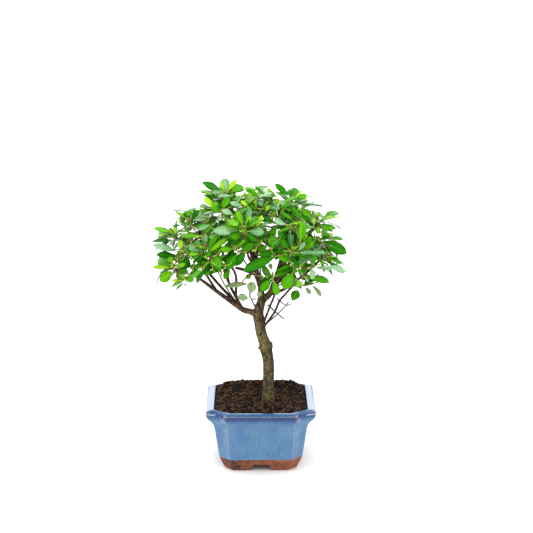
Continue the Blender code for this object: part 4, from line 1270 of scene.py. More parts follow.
# The leaves that stand out in front, by tone, placed to look like the photo. Each row has the root's
# x, y and z, the way from there to the tip, the width in mm, and how far the leaf faces the front, in tenths.
CHOSEN_ROWS: dict[Tone, list[tuple[int, ...]]] = {
    Tone.YOUNG: [(-109, -10, 281, -11, -4, 0, 3, 5), (-102, -14, 242, -24, -2, 3, 8, 4),
        (-98, -12, 279, -1, 0, 10, 4, 9), (-93, -20, 263, 1, -2, 14, 7, 9), (-67, -42, 287, -7, -4, -1, 3, 7),
        (-60, -56, 269, -3, -2, -5, 5, 8), (-41, -12, 331, -5, -2, 13, 5, 8),
        (-39, -12, 331, 11, -4, 15, 6, 8), (-13, -40, 319, -9, -2, 8, 5, 6), (-6, -24, 325, -9, 0, 9, 2, 6),
        (3, -62, 274, 12, -2, 4, 2, 6), (5, -40, 312, 4, 0, 9, 5, 8), (10, -12, 328, -1, 0, 8, 5, 8),
        (62, -6, 300, 8, 2, 5, 4, 6)],
    Tone.FRESH: [(-102, -20, 247, -4, 4, 9, 8, 8), (-101, -16, 240, -16, -6, -12, 12, 8),
        (-101, -5, 281, -23, -3, 9, 8, 4), (-99, -26, 244, 11, -4, 7, 6, 7),
        (-95, -8, 281, 22, -12, 14, 8, 4), (-84, -20, 301, -13, -2, 10, 4, 6),
        (-67, -48, 267, -14, -4, 1, 6, 6), (-63, -40, 290, -2, 0, 8, 5, 8), (-59, -62, 271, 20, 2, 17, 7, 7),
        (-53, -25, 313, 2, 3, 9, 8, 8), (-30, -60, 275, -15, -8, 2, 9, 6), (-24, -64, 300, -13, -2, 5, 5, 5),
        (-19, -62, 300, -8, 2, 19, 8, 8), (-18, -62, 300, 7, -4, 14, 6, 8), (-5, -34, 318, -1, 2, 8, 4, 8),
        (23, -28, 320, -6, 0, 6, 4, 6), (38, -58, 253, 9, -2, 3, 5, 7), (40, -54, 239, 5, -2, -9, 8, 8),
        (41, -2, 322, 12, -6, 5, 8, 5), (44, -62, 282, 2, 4, 24, 5, 8), (61, -4, 295, -11, 4, 14, 10, 7),
        (63, -40, 281, -12, -6, -9, 8, 8), (66, 0, 295, 21, -6, 7, 8, 3), (67, -24, 281, -1, 2, 11, 5, 8)],
    Tone.FULL: [(-101, -14, 240, -19, 4, -3, 7, 3), (-85, -33, 231, -3, -1, -6, 2, 8),
        (-84, -18, 302, 1, 4, 8, 9, 8), (-81, -32, 241, -1, -2, -12, 9, 8), (-59, -56, 274, 10, 2, 14, 4, 7),
        (-59, -25, 311, -13, 0, 2, 4, 5), (-55, -50, 253, 3, 0, -9, 4, 8), (-54, -50, 250, -10, -2, -8, 5, 8),
        (-54, -50, 256, -13, -4, 2, 6, 7), (-45, -28, 313, 9, 4, 14, 9, 8), (-35, -8, 330, 15, 14, 6, 14, 6),
        (-34, -50, 252, -8, -2, -14, 7, 8), (-26, -62, 271, -13, -6, -17, 12, 8),
        (-23, -62, 272, 15, 2, 10, 9, 7), (-21, -62, 295, -11, -10, -4, 11, 6),
        (-8, -56, 247, -9, -2, -7, 6, 8), (-5, -10, 329, -12, 4, 4, 5, 6), (-2, -20, 325, -8, 2, 8, 6, 6),
        (0, -50, 246, 2, 0, -10, 3, 8), (7, -14, 325, -13, 0, 14, 4, 6), (13, -60, 242, -13, -4, -15, 10, 8),
        (13, -56, 244, -8, -2, -2, 5, 7), (14, -60, 240, 5, -4, -18, 9, 8), (14, -54, 246, 19, -2, 10, 5, 6),
        (19, -30, 315, 15, -2, 7, 5, 5), (36, -60, 258, -17, -2, 9, 6, 6), (36, -6, 197, 8, -2, 15, 11, 10),
        (38, -56, 249, -12, -6, -20, 15, 9), (40, -57, 251, 7, -1, -4, 7, 8),
        (40, -50, 299, -21, -6, -4, 5, 4), (40, -40, 301, -16, 2, 13, 5, 6), (50, -34, 302, -15, 4, 16, 6, 7),
        (69, -18, 293, 10, 0, -5, 7, 7), (76, -20, 256, 19, -2, -7, 4, 6), (81, -5, 276, 16, 1, -2, 8, 4),
        (22, -50, 277, 8, -8, -13, 8, 8), (10, -40, 275, -13, -6, -5, 8, 6),
        (-46, -50, 277, -8, -6, -6, 7, 7), (6, -40, 289, 12, -4, 3, 8, 6), (-46, -40, 311, -8, -4, 9, 9, 7),
        (-77, -30, 293, 12, -6, 6, 6, 6), (48, -50, 277, 9, -4, 10, 8, 7), (-16, -20, 323, 12, -10, -9, 6, 6),
        (-87, -30, 273, 7, -6, -8, 7, 7)],
    Tone.DEEP: [(-100, -5, 273, -26, -5, 2, 9, 3), (-96, -20, 241, 12, -6, 14, 15, 9),
        (-95, -12, 255, -26, -2, 4, 10, 5), (-89, 0, 290, -15, -2, 0, 4, 4), (-85, -40, 265, 5, 0, 7, 4, 8),
        (-82, -20, 301, 12, -2, 11, 6, 7), (-77, -28, 253, -3, 0, -10, 7, 8),
        (-46, -12, 324, -12, -4, 4, 6, 6), (-29, -56, 277, -8, 0, 8, 6, 7),
        (-15, -60, 274, -16, -4, -17, 11, 8), (-18, -64, 301, 8, -2, 10, 4, 8),
        (-18, -58, 291, 13, -2, -6, 5, 7), (-17, -62, 294, 12, -4, -8, 7, 7), (16, -46, 300, -11, 0, 9, 5, 7),
        (32, -56, 273, -9, 2, 11, 9, 7), (35, 0, 322, -17, 2, 17, 8, 6), (38, 0, 324, -6, 9, 6, 10, 7),
        (43, -2, 314, 30, -4, 1, 9, 2), (47, -50, 253, 13, 0, 1, 5, 6), (58, -14, 290, 22, -2, 5, 5, 4),
        (62, -30, 285, -8, 0, 4, 5, 7), (68, -10, 273, 33, -6, -12, 15, 6),
        (20, -62, 268, -40, -8, -13, 14, 6), (30, -56, 272, -34, -4, -3, 10, 4),
        (3, -42, 294, -3, -6, -11, 7, 7), (-34, -56, 279, 8, -4, 7, 7, 7), (44, -20, 307, 13, -6, -7, 7, 6),
        (-42, -12, 331, -24, -2, 14, 11, 4)],
    # Leaves with a painted sheen.
    Tone.WAXY: [(-96, -15, 261, -26, -10, 13, 10, 5), (-87, -35, 271, 11, -3, 5, 5, 5),
        (-67, -45, 274, -6, -1, 8, 7, 6), (-61, -45, 275, -2, 1, 14, 6, 8), (-59, -30, 306, -12, -2, 2, 5, 5),
        (-56, -10, 312, -15, 0, 4, 6, 5), (-40, -46, 307, -9, -2, 0, 5, 5), (-40, -8, 331, -2, 13, 14, 11, 8),
        (-31, -14, 327, -17, -8, 3, 9, 3), (-29, -45, 311, -14, -5, 7, 8, 6),
        (-22, -60, 297, -31, -10, 2, 12, 6), (-19, -30, 317, -15, -4, 7, 7, 6),
        (-15, -62, 296, 18, -6, 1, 11, 6), (-15, -55, 303, 2, 7, 18, 9, 8), (-10, -56, 301, 2, 2, 10, 4, 8),
        (-3, -50, 297, 11, -2, 8, 4, 6), (4, -34, 317, -6, 2, 8, 7, 7), (31, -50, 300, -15, -4, 7, 8, 5),
        (35, -48, 272, -1, 4, 19, 10, 8), (38, -60, 270, 35, -4, 3, 9, 4), (41, -58, 270, 9, 2, 12, 6, 7),
        (71, -18, 251, 9, 0, -6, 3, 5), (1, -20, 248, 10, -4, 7, 9, 6), (-68, -45, 270, -13, -5, 4, 8, 6),
        (28, -40, 300, -12, -4, 5, 10, 6), (-55, -40, 300, -16, -6, -5, 7, 5)],
    Tone.DULL: [(-12, -16, 205, -14, -6, 4, 9, 7), (-11, -20, 224, -30, -10, 2, 8, 5),
        (-11, -16, 209, 1, -4, 17, 11, 8), (-4, -16, 204, 4, -2, 10, 6, 8), (14, -40, 243, -4, 2, 10, 5, 8),
        (49, -48, 240, 6, 0, -6, 4, 7), (51, -14, 220, 8, -4, -9, 6, 4), (59, -10, 221, 14, -4, -13, 7, 3),
        (59, 10, 304, 23, 4, -4, 6, 1)],
}


@dataclass(frozen=True)
class ChosenLeaf:
    """A leaf that stands out in front: its root and tip, its width, how far it faces front, its tone."""

    root: Vector
    tip: Vector
    width: float
    facing: float
    tone: Tone


CHOSEN_LEAVES: list[ChosenLeaf] = [
    ChosenLeaf(mm(*row[:3]), mm(*row[:3]) + mm(*row[3:6]), row[6] * MM, row[7] / 10, tone)
    for tone, rows in CHOSEN_ROWS.items() for row in rows]


@dataclass
class Crown:
    """The crown's dome and the limbs in it, as the source draws them."""

    heart: Vector = field(default_factory=lambda: mm(-10, 0, 225))
    centre: Vector = field(default_factory=lambda: mm(-14, 0, 232))
    side: float = 119.0
    depth: float = 102.0
    top: float = 109.0
    under: float = 44.0
    power: float = 2.1
    low: Vector = field(default_factory=lambda: mm(-126.5, -96.4, 0))
    high: Vector = field(default_factory=lambda: mm(101.5, 96.4, 346))
    leader_reach: float = 34.0
    limb_step: float = 11.0
    limb_taper: float = 0.8
    entry_depth: float = 2.5
    entry_reach: float = 33.0
    trunk_step: float = 8.0
    limb_clearance: float = 0.5
    tip_room: float = 9.0
    limbs: dict[str, Limb] = field(default_factory=dict)
    walls: dict[str, list[tuple[Vector, Vector]]] = field(default_factory=dict)

    def __post_init__(self) -> None:
        """Finds the walls between the masses' spaces, then routes the limbs."""
        for mass in MASSES:
            others = [other.leader for other in MASSES if other is not mass]
            self.walls[mass.name] = [((place + mass.leader) / 2, (place - mass.leader).normalized())
                for place in others]
        trunk = Limb("trunk", "", 0.0, TRUNK_LINE[0][1], TRUNK_LINE[-1][1], [])
        trunk.path, trunk.radii = smooth_line([mm(*p) for p, _ in TRUNK_LINE],
            [r for _, r in TRUNK_LINE], self.trunk_step * MM)
        self.limbs["trunk"] = trunk
        carried = {mass.limb: mass for mass in MASSES}
        for limb in LIMBS:
            parent = self.limbs[limb.parent]
            mass = carried[limb.name]
            start = parent.path[round(limb.share * (len(parent.path) - 1))]
            knots = [start] + [mm(*place) for place in limb.places] + [mass.leader]
            line, _ = smooth_line(knots, [0.0] * len(knots), self.limb_step * MM)
            last = next(i for i, place in enumerate(line) if self.enters(place, mass))
            limb.path = line[:last + 1]
            taper = limb.tip_radius - limb.radius
            limb.radii = [limb.radius + taper * (i / last) ** self.limb_taper for i in range(last + 1)]
            self.limbs[limb.name] = limb

    def enters(self, place: Vector, mass: Mass) -> bool:
        """Whether a limb's line has come into its mass."""
        near = (place - mass.leader).length < self.entry_reach * MM
        return near and self.room(place, mass) > self.entry_depth * MM

    def room(self, place: Vector, mass: Mass) -> float:
        """How far inside its mass's own space a place lies."""
        return min((middle - place).dot(way) for middle, way in self.walls[mass.name])

    def share(self, place: Vector) -> float:
        """Finds how far out a place lies in the dome.

        Args:
            place: the place.

        Returns:
            0 at the dome's centre, 1 on its outside.
        """
        away = (place - self.centre) / MM
        height = self.top if away.z > 0 else self.under
        shares = (abs(away.x) / self.side, abs(away.y) / self.depth, abs(away.z) / height)
        return sum(s**self.power for s in shares) ** (1 / self.power)

    def holds(self, place: Vector, mass: Mass) -> bool:
        """Whether a place lies in the crown's box, at its mass's height, and in the dome or near its leader.

        Args:
            place: the place.
            mass: its mass.

        Returns:
            True where it does.
        """
        if not mass.floor * MM <= place.z <= mass.ceiling * MM:
            return False
        if any(not self.low[i] <= place[i] <= self.high[i] for i in range(3)):
            return False
        return self.share(place) <= 1.0 or (place - mass.leader).length <= self.leader_reach * MM

    def clear(self, start: Vector, end: Vector, thickness: float, skip_near: Vector | None = None) -> bool:
        """Whether a straight piece misses every limb.

        Args:
            start: the piece's start.
            end: the piece's end.
            thickness: its radius in metres.
            skip_near: its own limb's tip, near which it may be closer.

        Returns:
            True where it is clear.
        """
        for limb in self.limbs.values():
            for i in range(len(limb.path) - 1):
                a, b = limb.path[i], limb.path[i + 1]
                if skip_near is not None and (b - skip_near).length < self.tip_room * MM:
                    continue
                wide = max(limb.radii[i], limb.radii[i + 1]) * MM
                if segment_distance(start, end, a, b) < wide + thickness + self.limb_clearance * MM:
                    return False
        return True


@dataclass
class Woodwork:
    """The trunk with its thick limbs in one bark, the finer boughs and the bare twigs."""

    crown: Crown
    centre: Vector
    voxel: float = 0.45
    smoothing: int = 8
    trunk_sides: int = 28
    root_sides: int = 16
    bough_sides: int = 14
    twig_sides: int = 8
    root_count: int = 5
    root_swing: float = 0.25
    fine_step: float = 1.2
    swell: float = 0.35
    swell_reach: float = 3.5
    flake_wide: float = 2.8
    flake_tall: float = 2.6
    flake_edge: float = 3.2
    grain: float = 1.1
    # The relief's greatest depth in mm and as a share of the radius, the same for lumps, and their size.
    relief: Pair = (0.5, 0.075)
    lumps: Pair = (0.45, 0.06)
    lump_size: float = 8.0
    trunk_bark: Bark = Bark("azalea_trunk_bark")
    bough_bark: Bark = Bark("azalea_bough_bark")
    youth_start: float = 8.0
    youth_end: float = 26.0

    def fine_line(self, limb: Limb) -> tuple[Line, list[float]]:
        """Spaces a limb's line closely, with a swollen foot.

        Args:
            limb: the limb.

        Returns:
            The line's points, and the radius at each in metres.
        """
        line, radii = smooth_line(limb.path, limb.radii, self.fine_step * MM)
        widths = []
        for i, radius in enumerate(radii):
            swell = 1.0 + self.swell * math.exp(-i * self.fine_step / self.swell_reach)
            widths.append(radius * (swell if limb.parent else 1.0) * MM)
        return line, widths

    def trunk_mass(self) -> Piece:
        """Makes the trunk, roots, stubs and thick limbs as one skin, before its relief.

        Returns:
            The skin.
        """
        batch = Batch("trunk_bark")
        for name in ("trunk",) + THICK_LIMBS:
            line, widths = self.fine_line(self.crown.limbs[name])
            batch.add(*tube(line, widths, self.trunk_sides))
        foot = mm(*TRUNK_LINE[0][0])
        for i in range(self.root_count):
            angle = 2 * math.pi * (i + self.root_swing * math.sin(5.0 * i) + 0.4) / self.root_count
            out = Vector((math.cos(angle), math.sin(angle), 0.0))
            knots = [foot + (out * away + UP * height) * MM for away, height, _ in ROOT_LINE]
            line, widths = smooth_line(knots, [r * MM for _, _, r in ROOT_LINE], self.fine_step * MM)
            batch.add(*tube(line, widths, self.root_sides))
        for place, way, length, wide, narrow in TRUNK_STUBS:
            end = mm(*place) + Vector(way).normalized() * length * MM
            line, widths = smooth_line([mm(*place), end], [wide * MM, narrow * MM], self.fine_step * MM)
            batch.add(*tube(line, widths, self.root_sides))
        piece = batch.make([])
        remesh = piece.modifiers.new("skin", "REMESH")
        remesh.mode = "VOXEL"
        remesh.voxel_size = self.voxel * MM
        soften = piece.modifiers.new("soften", "SMOOTH")
        soften.iterations = self.smoothing
        soften.factor = 0.5
        apply_modifiers(piece)
        return piece

    def relief_at(self, place: Vector, along: Vector) -> float:
        """Finds the bark's relief at a place: thin flakes with a fine grain, long along the limb.

        Args:
            place: the place.
            along: the way that the limb runs there.

        Returns:
            0 in a groove, up to 1 on a flake.
        """
        drawn = place - along * place.dot(along) * (1 - 1 / self.flake_tall)
        distances, _ = noise.voronoi(drawn / (self.flake_wide * MM))
        plate = min(1.0, (distances[1] - distances[0]) * self.flake_edge)
        fine = noise.fractal(drawn / (self.grain * MM), 1.0, 2.0, 3)
        return max(0.0, min(1.0, 0.72 * plate + 0.14 + 0.22 * fine))

    def add_relief(self, piece: Piece, names: tuple[str, ...]) -> None:
        """Moves a skin's points out and in by the bark's relief, and keeps the relief for the colour.

        Args:
            piece: the skin.
            names: the limbs in it.
        """
        found: list[tuple[Vector, Vector, float, float]] = []
        for name in names:
            line, widths = self.fine_line(self.crown.limbs[name])
            for i, place in enumerate(line):
                youth = (i * self.fine_step - self.youth_start) / (self.youth_end - self.youth_start)
                youth = 0.0 if name == "trunk" else 1.0 if name not in THICK_LIMBS else youth
                found.append((place, way_at(line, i), widths[i], min(1.0, max(0.0, youth))))
        tree = kdtree.KDTree(len(found))
        for index, row in enumerate(found):
            tree.insert(row[0], index)
        tree.balance()
        mesh = piece.data
        values, ages = np.empty((2, len(mesh.vertices)), np.float32)
        normals = [v.normal.copy() for v in mesh.vertices]
        for vert, normal in zip(mesh.vertices, normals):
            _, index, _ = tree.find(vert.co)
            _, along, width, ages[vert.index] = found[index]
            relief = self.relief_at(vert.co, along)
            lump = noise.noise(vert.co / (self.lump_size * MM))
            deep, high = (min(most * MM, width * share) for most, share in (self.relief, self.lumps))
            vert.co = vert.co + normal * ((relief - 0.62) * deep + lump * high)
            values[vert.index] = relief
        keep_values(mesh, {"relief": values, "youth": ages})

    def stand_flat(self, piece: Piece, ground: float) -> None:
        """Cuts a skin flat at the ground.

        Args:
            piece: the skin.
            ground: the ground's height in metres.
        """
        mesh = bmesh.new()
        mesh.from_mesh(piece.data)
        everything = mesh.verts[:] + mesh.edges[:] + mesh.faces[:]
        cut = bmesh.ops.bisect_plane(mesh, geom=everything, plane_co=(0, 0, ground), plane_no=(0, 0, 1),
            clear_inner=True)
        edges = [e for e in cut["geom_cut"] if isinstance(e, bmesh.types.BMEdge)]
        bmesh.ops.triangle_fill(mesh, edges=edges, use_beauty=True)
        bmesh.ops.recalc_face_normals(mesh, faces=mesh.faces)
        mesh.to_mesh(piece.data)
        mesh.free()

    def build(self) -> None:
        """Builds all the wood and ties it to its nodes."""
        trunk_bark, bough_bark = self.trunk_bark.build(), self.bough_bark.build()
        piece = self.trunk_mass()
        self.add_relief(piece, ("trunk",) + THICK_LIMBS)
        self.stand_flat(piece, TRUNK_LINE[0][0][2] * MM)
        piece.data.materials.append(trunk_bark)
        piece.data.shade_smooth()
        settle(piece, Slot.TRUNK, ["trunk", *THICK_LIMBS], self.centre)
        fine = [limb for limb in LIMBS if limb.name not in THICK_LIMBS]
        batch, twigs = Batch("bough_bark_fine"), Batch("bare_twigs")
        for limb in fine:
            batch.add(*tube(*self.fine_line(limb), self.bough_sides))
        for places, foot, tip in BARE_TWIGS:
            line, _ = smooth_line([mm(*p) for p in places], [0.0] * len(places), self.fine_step * MM)
            widths = [(foot + (tip - foot) * i / (len(line) - 1)) * MM for i in range(len(line))]
            twigs.add(*tube(line, widths, self.twig_sides))
        boughs = batch.make([bough_bark])
        names = [limb.name for limb in fine]
        self.add_relief(boughs, tuple(names))
        settle(boughs, Slot.BOUGH, names, self.centre)
        bare = twigs.make([YoungStem("bare_twig_bark", "#2A1D15", "#564234").build()])
        settle(bare, Slot.BOUGH, [], self.centre)


def leaf_frame(root: Vector, along: Vector, face: Vector) -> Matrix:
    """A leaf's frame: X along it, and Z out of its upper face."""
    face = (face - along * face.dot(along)).normalized()
    return Matrix.Translation(root) @ Matrix((along, face.cross(along), face)).transposed().to_4x4()


@dataclass
class Leaf:
    """One leaf: where its stalk leaves the twig, its frame, length, width, bend and tone."""

    foot: Vector
    frame: Matrix
    length: float
    width: float
    droop: float
    fold: float
    twist: float
    tone: Tone
    petiole: float = 2.6
    rib_deep: float = 0.1
    thickness: float = 0.42
    rows: Sizes = (0.0, 0.05, 0.14, 0.27, 0.41, 0.56, 0.70, 0.81, 0.90, 0.955, 0.985, 1.0)
    columns: Sizes = (-1.0, -0.55, -0.05, 0.05, 0.55, 1.0)
    # Its coarse outline for the tests, as shares along it and across.
    spots: tuple[Pair, ...] = ((0.05, 0.0), (0.3, 0.85), (0.6, 1.0), (0.85, 0.8), (1.0, 0.0),
        (0.85, -0.8), (0.6, -1.0), (0.3, -0.85))
    outline: Line = field(init=False)
    skin: BVHTree = field(init=False)

    def __post_init__(self) -> None:
        """Draws its coarse outline and makes a tree of the faces in it."""
        self.outline = [self.frame @ self.bend(t, s) for t, s in self.spots]
        count = len(self.outline)
        faces = [(k, (k + 1) % count, count) for k in range(count)]
        self.skin = BVHTree.FromPolygons(self.outline + [self.frame @ self.bend(0.5, 0.0)], faces)

    @property
    def middle(self) -> Vector:
        """The place midway between its foot and its tip."""
        return self.outline[4].lerp(self.outline[0], 0.5)

    def bend(self, t: float, s: float) -> Vector:
        """Finds a point of its upper face, with its outline, fold, droop, twist and waves.

        Args:
            t: the share along it.
            s: the share across it, from -1 to 1.

        Returns:
            The point in its frame.
        """
        belly = math.sin(math.pi * min(1.0, t ** (1.38 + 0.5 * self.twist)))
        half = self.width / 2 * max(0.02, belly**0.64)
        across = s * half
        rise = self.fold * abs(s) * half * (1.25 - 0.75 * abs(s))
        sag = self.droop * self.length * (t**2 * 0.75 + 0.25 * t**4)
        wave = 0.012 * self.length * math.sin(9.0 * t + 5.0 * self.twist) * s * abs(s)
        turn = self.twist * t
        x = self.petiole * MM + t * self.length * (1 - 0.35 * self.droop**2)
        return Vector((x, across * math.cos(turn) - rise * math.sin(turn),
            across * math.sin(turn) + rise * math.cos(turn) - sag + wave))

    def blade(self, shade: float) -> tuple[np.ndarray, list[list[int]], list[int], np.ndarray]:
        """Its closed mesh: its upper face with a sunk rib, and its underside, joined at the rim.

        Args:
            shade: how light it is among its kind, from 0 to 1.

        Returns:
            Its points, its faces, each face's material and each point's place on the leaf.
        """
        points, values, faces, marks = [], [], [], []
        width = len(self.columns) + 1
        for t in self.rows:
            for s in self.columns:
                place = self.bend(t, s)
                if abs(s) < 0.1:
                    place.z -= self.rib_deep * MM * math.sin(math.pi * t)
                points.append(self.frame @ place)
                values.append((s, t, shade))
            under = self.bend(t, 0.0)
            under.z -= self.thickness * MM * (1.0 - 0.6 * t)
            points.append(self.frame @ under)
            values.append((0.0, t, shade))
        last, end = len(self.columns) - 1, (len(self.rows) - 1) * width
        for low in range(0, end, width):
            for k in range(width):
                after = (k + 1) % width
                faces.append([low + k, low + width + k, low + width + after, low + after])
                marks.append(2 if k >= last else 1 if k == last // 2 else 0)
        faces += [list(range(width)), list(range(end, end + width))[::-1]]
        marks += [2, 0]
        return np.array([tuple(p) for p in points]), faces, marks, np.array(values)


@dataclass
class Twig:
    """A twig: its line, its radii in metres at both ends and the mass that it belongs to."""

    line: Line
    foot_radius: float
    tip_radius: float
    mass: Mass


@dataclass
class Foliage:
    """All twigs and leaves: the source's rule for its shoots, carried on to finer ones."""

    crown: Crown
    centre: Vector
    seed: int = 1843
    draw: random.Random = field(default_factory=random.Random)
    shoot_places: int = 260
    fine_places: int = 900
    shoot_spacing: float = 17.0
    fine_spacing: float = 11.0
    shoot_margin: float = 4.0
    shell_inner: float = 0.62
    shell_outer: float = 0.88
    mass_reach: float = 44.0
    shoot_out: float = 0.8
    shoot_up: float = 0.6
    twig_foot: float = 0.95
    twig_tip: float = 0.62
    fine_foot: float = 0.7
    fine_tip: float = 0.5
    stem_pieces: int = 4
    twig_pieces: int = 2
    green_stem: float = 13.0
    stem_step: float = 2.2
    twig_room: float = 1.4
    twig_thick: float = 1.15
    floor_room: float = 7.0
    chosen_spacing: float = 7.0
    joints_tried: int = 4
    leaf_room: float = 0.2
    # The share of leaves that take the tone with the painted sheen.
    painted_sheen_share: float = 0.14
    fresh_light: float = 0.98
    full_light: float = 0.48
    leaf_length: float = 29.0
    leaf_width: float = 0.47
    # What a leaf that meets something tries: shares of its length, and turns with leans in radians.
    cuts: Sizes = (1.0, 0.88, 0.76)
    turns: tuple[Pair, ...] = ((0.0, 0.0), (0.35, 0.0), (-0.35, 0.0), (0.0, 0.3), (0.7, 0.1),
        (-0.7, 0.1))
    root_step: float = 1.15
    twigs: list[Twig] = field(default_factory=list)
    leaves: list[Leaf] = field(default_factory=list)
    proxies: list[tuple[Vector, BVHTree]] = field(default_factory=list)
    shown: list[tuple[Vector, Vector, float]] = field(default_factory=list)

    def axis(self, tip: Vector) -> Vector:
        """The way a shoot points: outwards from the crown's heart and up."""
        out = (tip - self.crown.heart).normalized()
        return (out * self.shoot_out + UP * self.shoot_up).normalized()

    def places(self, mass: Mass, count: int) -> Line:
        """Draws places for shoots in a mass's part of the dome's shell.

        Args:
            mass: the mass.
            count: how many places are tried.

        Returns:
            The places that lie in the shell.
        """
        found = []
        for _ in range(count):
            step = Vector([self.draw.uniform(-1.0, 1.0) for _ in range(3)]) * self.mass_reach * MM
            place = mass.leader + step
            inside = self.shell_inner < self.crown.share(place) < self.shell_outer
            high = place.z > (mass.floor + self.floor_room) * MM
            if high and inside and self.crown.room(place, mass) > self.shoot_margin * MM:
                found.append(place)
        return found

    def spread(self, tips: Line, places: Line, most: int, spacing: float) -> None:
        """Adds tips at the free places that lie furthest from those taken.

        Args:
            tips: the tips so far, which grow.
            places: the free places.
            most: the number of tips to stop at.
            spacing: the least distance between tips, in mm.
        """
        while places and len(tips) < most:
            best = max(places, key=lambda p: min((p - tip).length for tip in tips))
            if min((best - tip).length for tip in tips) < spacing * MM:
                break
            tips.append(best)

    def bent_line(self, start: Vector, heading: Vector, end: Vector, pieces: int) -> Line:
        """Draws a twig's line, which leaves along its heading and ends along its shoot's axis.

        Args:
            start: where it leaves.
            heading: the way that it leaves.
            end: its tip.
            pieces: how many pieces it has.

        Returns:
            The line's points.
        """
        reach = (end - start).length
        first = start + heading * reach * 0.35
        second = end - self.axis(end) * reach * 0.3
        line = []
        for k in range(pieces + 1):
            t = k / pieces
            line.append(start * (1 - t) ** 3 + first * 3 * t * (1 - t) ** 2 + second * 3 * t**2 * (1 - t)
                + end * t**3)
        return line

    def line_is_free(self, line: Line, mass: Mass, skip_near: Vector | None) -> bool:
        """Whether a twig's line keeps to its mass's space and misses the limbs.

        Args:
            line: the line.
            mass: its mass.
            skip_near: its limb's tip, near which it may be closer.

        Returns:
            True where it does.
        """
        for a, b in zip(line, line[1:]):
            if self.crown.room(b, mass) < self.twig_room * MM:
                return False
            if not self.crown.clear(a, b, self.twig_thick * MM, skip_near):
                return False
        return True

    def grow_twigs(self, mass: Mass) -> list[Line]:
        """Grows a mass's twigs: the source's shoots, then the finer ones from the nearest twigs.

        Args:
            mass: the mass.

        Returns:
            The twigs' lines. The stem is the first.
        """
        limb = self.crown.limbs[mass.limb]
        if mass.trunk_height:
            height = mass.trunk_height * MM
            foot = min(range(len(limb.path)), key=lambda i: abs(limb.path[i].z - height))
            start = limb.path[foot]
            heading = mass.leader - start
            heading.z = 0.0
            heading.normalize()
            skip_near = None
        else:
            heading = limb.heading
            start = limb.tip - heading * MM
            skip_near = limb.tip
        tips = [mass.leader]
        for chosen in CHOSEN_LEAVES:
            near = min((chosen.root - tip).length for tip in tips)
            if self.crown.room(chosen.root, mass) > 0.0 and near > self.chosen_spacing * MM:
                tips.append(chosen.root)
        places = self.places(mass, self.shoot_places)
        self.spread(tips, places, mass.shoots + len(tips) - 1, self.shoot_spacing)
        main = len(tips)
        if mass.fine_shoots:
            places += self.places(mass, self.fine_places)
            self.spread(tips, places, main + mass.fine_shoots, self.fine_spacing)
        lines = [self.bent_line(start, heading, tips[0], 2 * self.stem_pieces)]
        feet = [(self.twig_foot * 1.15, self.twig_tip)]
        for number, tip in enumerate(tips[1:], 1):
            joints = []
            for line in lines:
                for i in range(1, len(line) - 1):
                    way = way_at(line, i)
                    reach = tip - line[i]
                    cost = reach.length * (1.6 - 0.6 * way.dot(reach.normalized()))
                    joints.append((cost, line[i], way))
            joints.sort(key=lambda joint: joint[0])
            for _, place, way in joints[:self.joints_tried]:
                line = self.bent_line(place, way, tip, 2 * self.twig_pieces)
                if self.line_is_free(line[1:], mass, skip_near):
                    lines.append(line)
                    fine = number >= main
                    feet.append((self.fine_foot, self.fine_tip) if fine else (self.twig_foot, self.twig_tip))
                    break
        for line, (foot, tip_radius) in zip(lines, feet):
            self.twigs.append(Twig(line, foot * MM, tip_radius * MM, mass))
        return lines

    def lean_out(self, root: Vector, axis: Vector, azimuth: float, lean: float) -> Matrix:
        """Places a leaf on its shoot.

        Args:
            root: where its stalk leaves the twig.
            axis: the shoot's axis.
            azimuth: its turn about the axis.
            lean: how far it leans from the axis.

        Returns:
            Its frame.
        """
        out = root - self.crown.heart
        side = (out - axis * out.dot(axis)).normalized()
        side = Matrix.Rotation(azimuth, 3, axis) @ side
        along = (axis * math.cos(lean) + side * math.sin(lean)).normalized()
        return leaf_frame(root, along, axis)

    def is_free(self, leaf: Leaf, mass: Mass) -> bool:
        """Whether a leaf keeps to its mass's space and misses the limbs and the other leaves.

        Args:
            leaf: the leaf.
            mass: its mass.

        Returns:
            True where it does.
        """
        for place in leaf.outline:
            if self.crown.room(place, mass) < self.leaf_room * MM or not self.crown.holds(place, mass):
                return False
        root, tip, middle = leaf.outline[0], leaf.outline[4], leaf.middle
        if not self.crown.clear(root.lerp(tip, 0.25), tip, leaf.width * 0.36):
            return False
        for centre, other in self.proxies:
            if (centre - middle).length < 0.9 * leaf.length + 16 * MM and leaf.skin.overlap(other):
                return False
        return True

    def place_chosen(self, tips: Line) -> None:
        """Places the leaves that stand out, each on the nearest shoot.

        Args:
            tips: the shoots' tips.
        """
        for number, chosen in enumerate(CHOSEN_LEAVES):
            root, tip = chosen.root, chosen.tip
            along = (tip - root).normalized()
            frame = leaf_frame(root, along, Vector((0.0, -chosen.facing, 1.05 - chosen.facing)))
            length = (tip - root).length - Leaf.petiole * MM
            foot = min(tips, key=lambda place: (place - root).length)
            droop, fold = 0.08 + 0.05 * (number % 3), 0.1 + 0.06 * (number % 4)
            twist = 0.12 * (number % 3 - 1)
            leaf = Leaf(foot, frame, length, chosen.width, droop, fold, twist, chosen.tone)
            self.proxies.append((leaf.middle, leaf.skin))
            self.shown.append((leaf.outline[0], leaf.outline[4], leaf.width / 2))
            self.leaves.append(leaf)

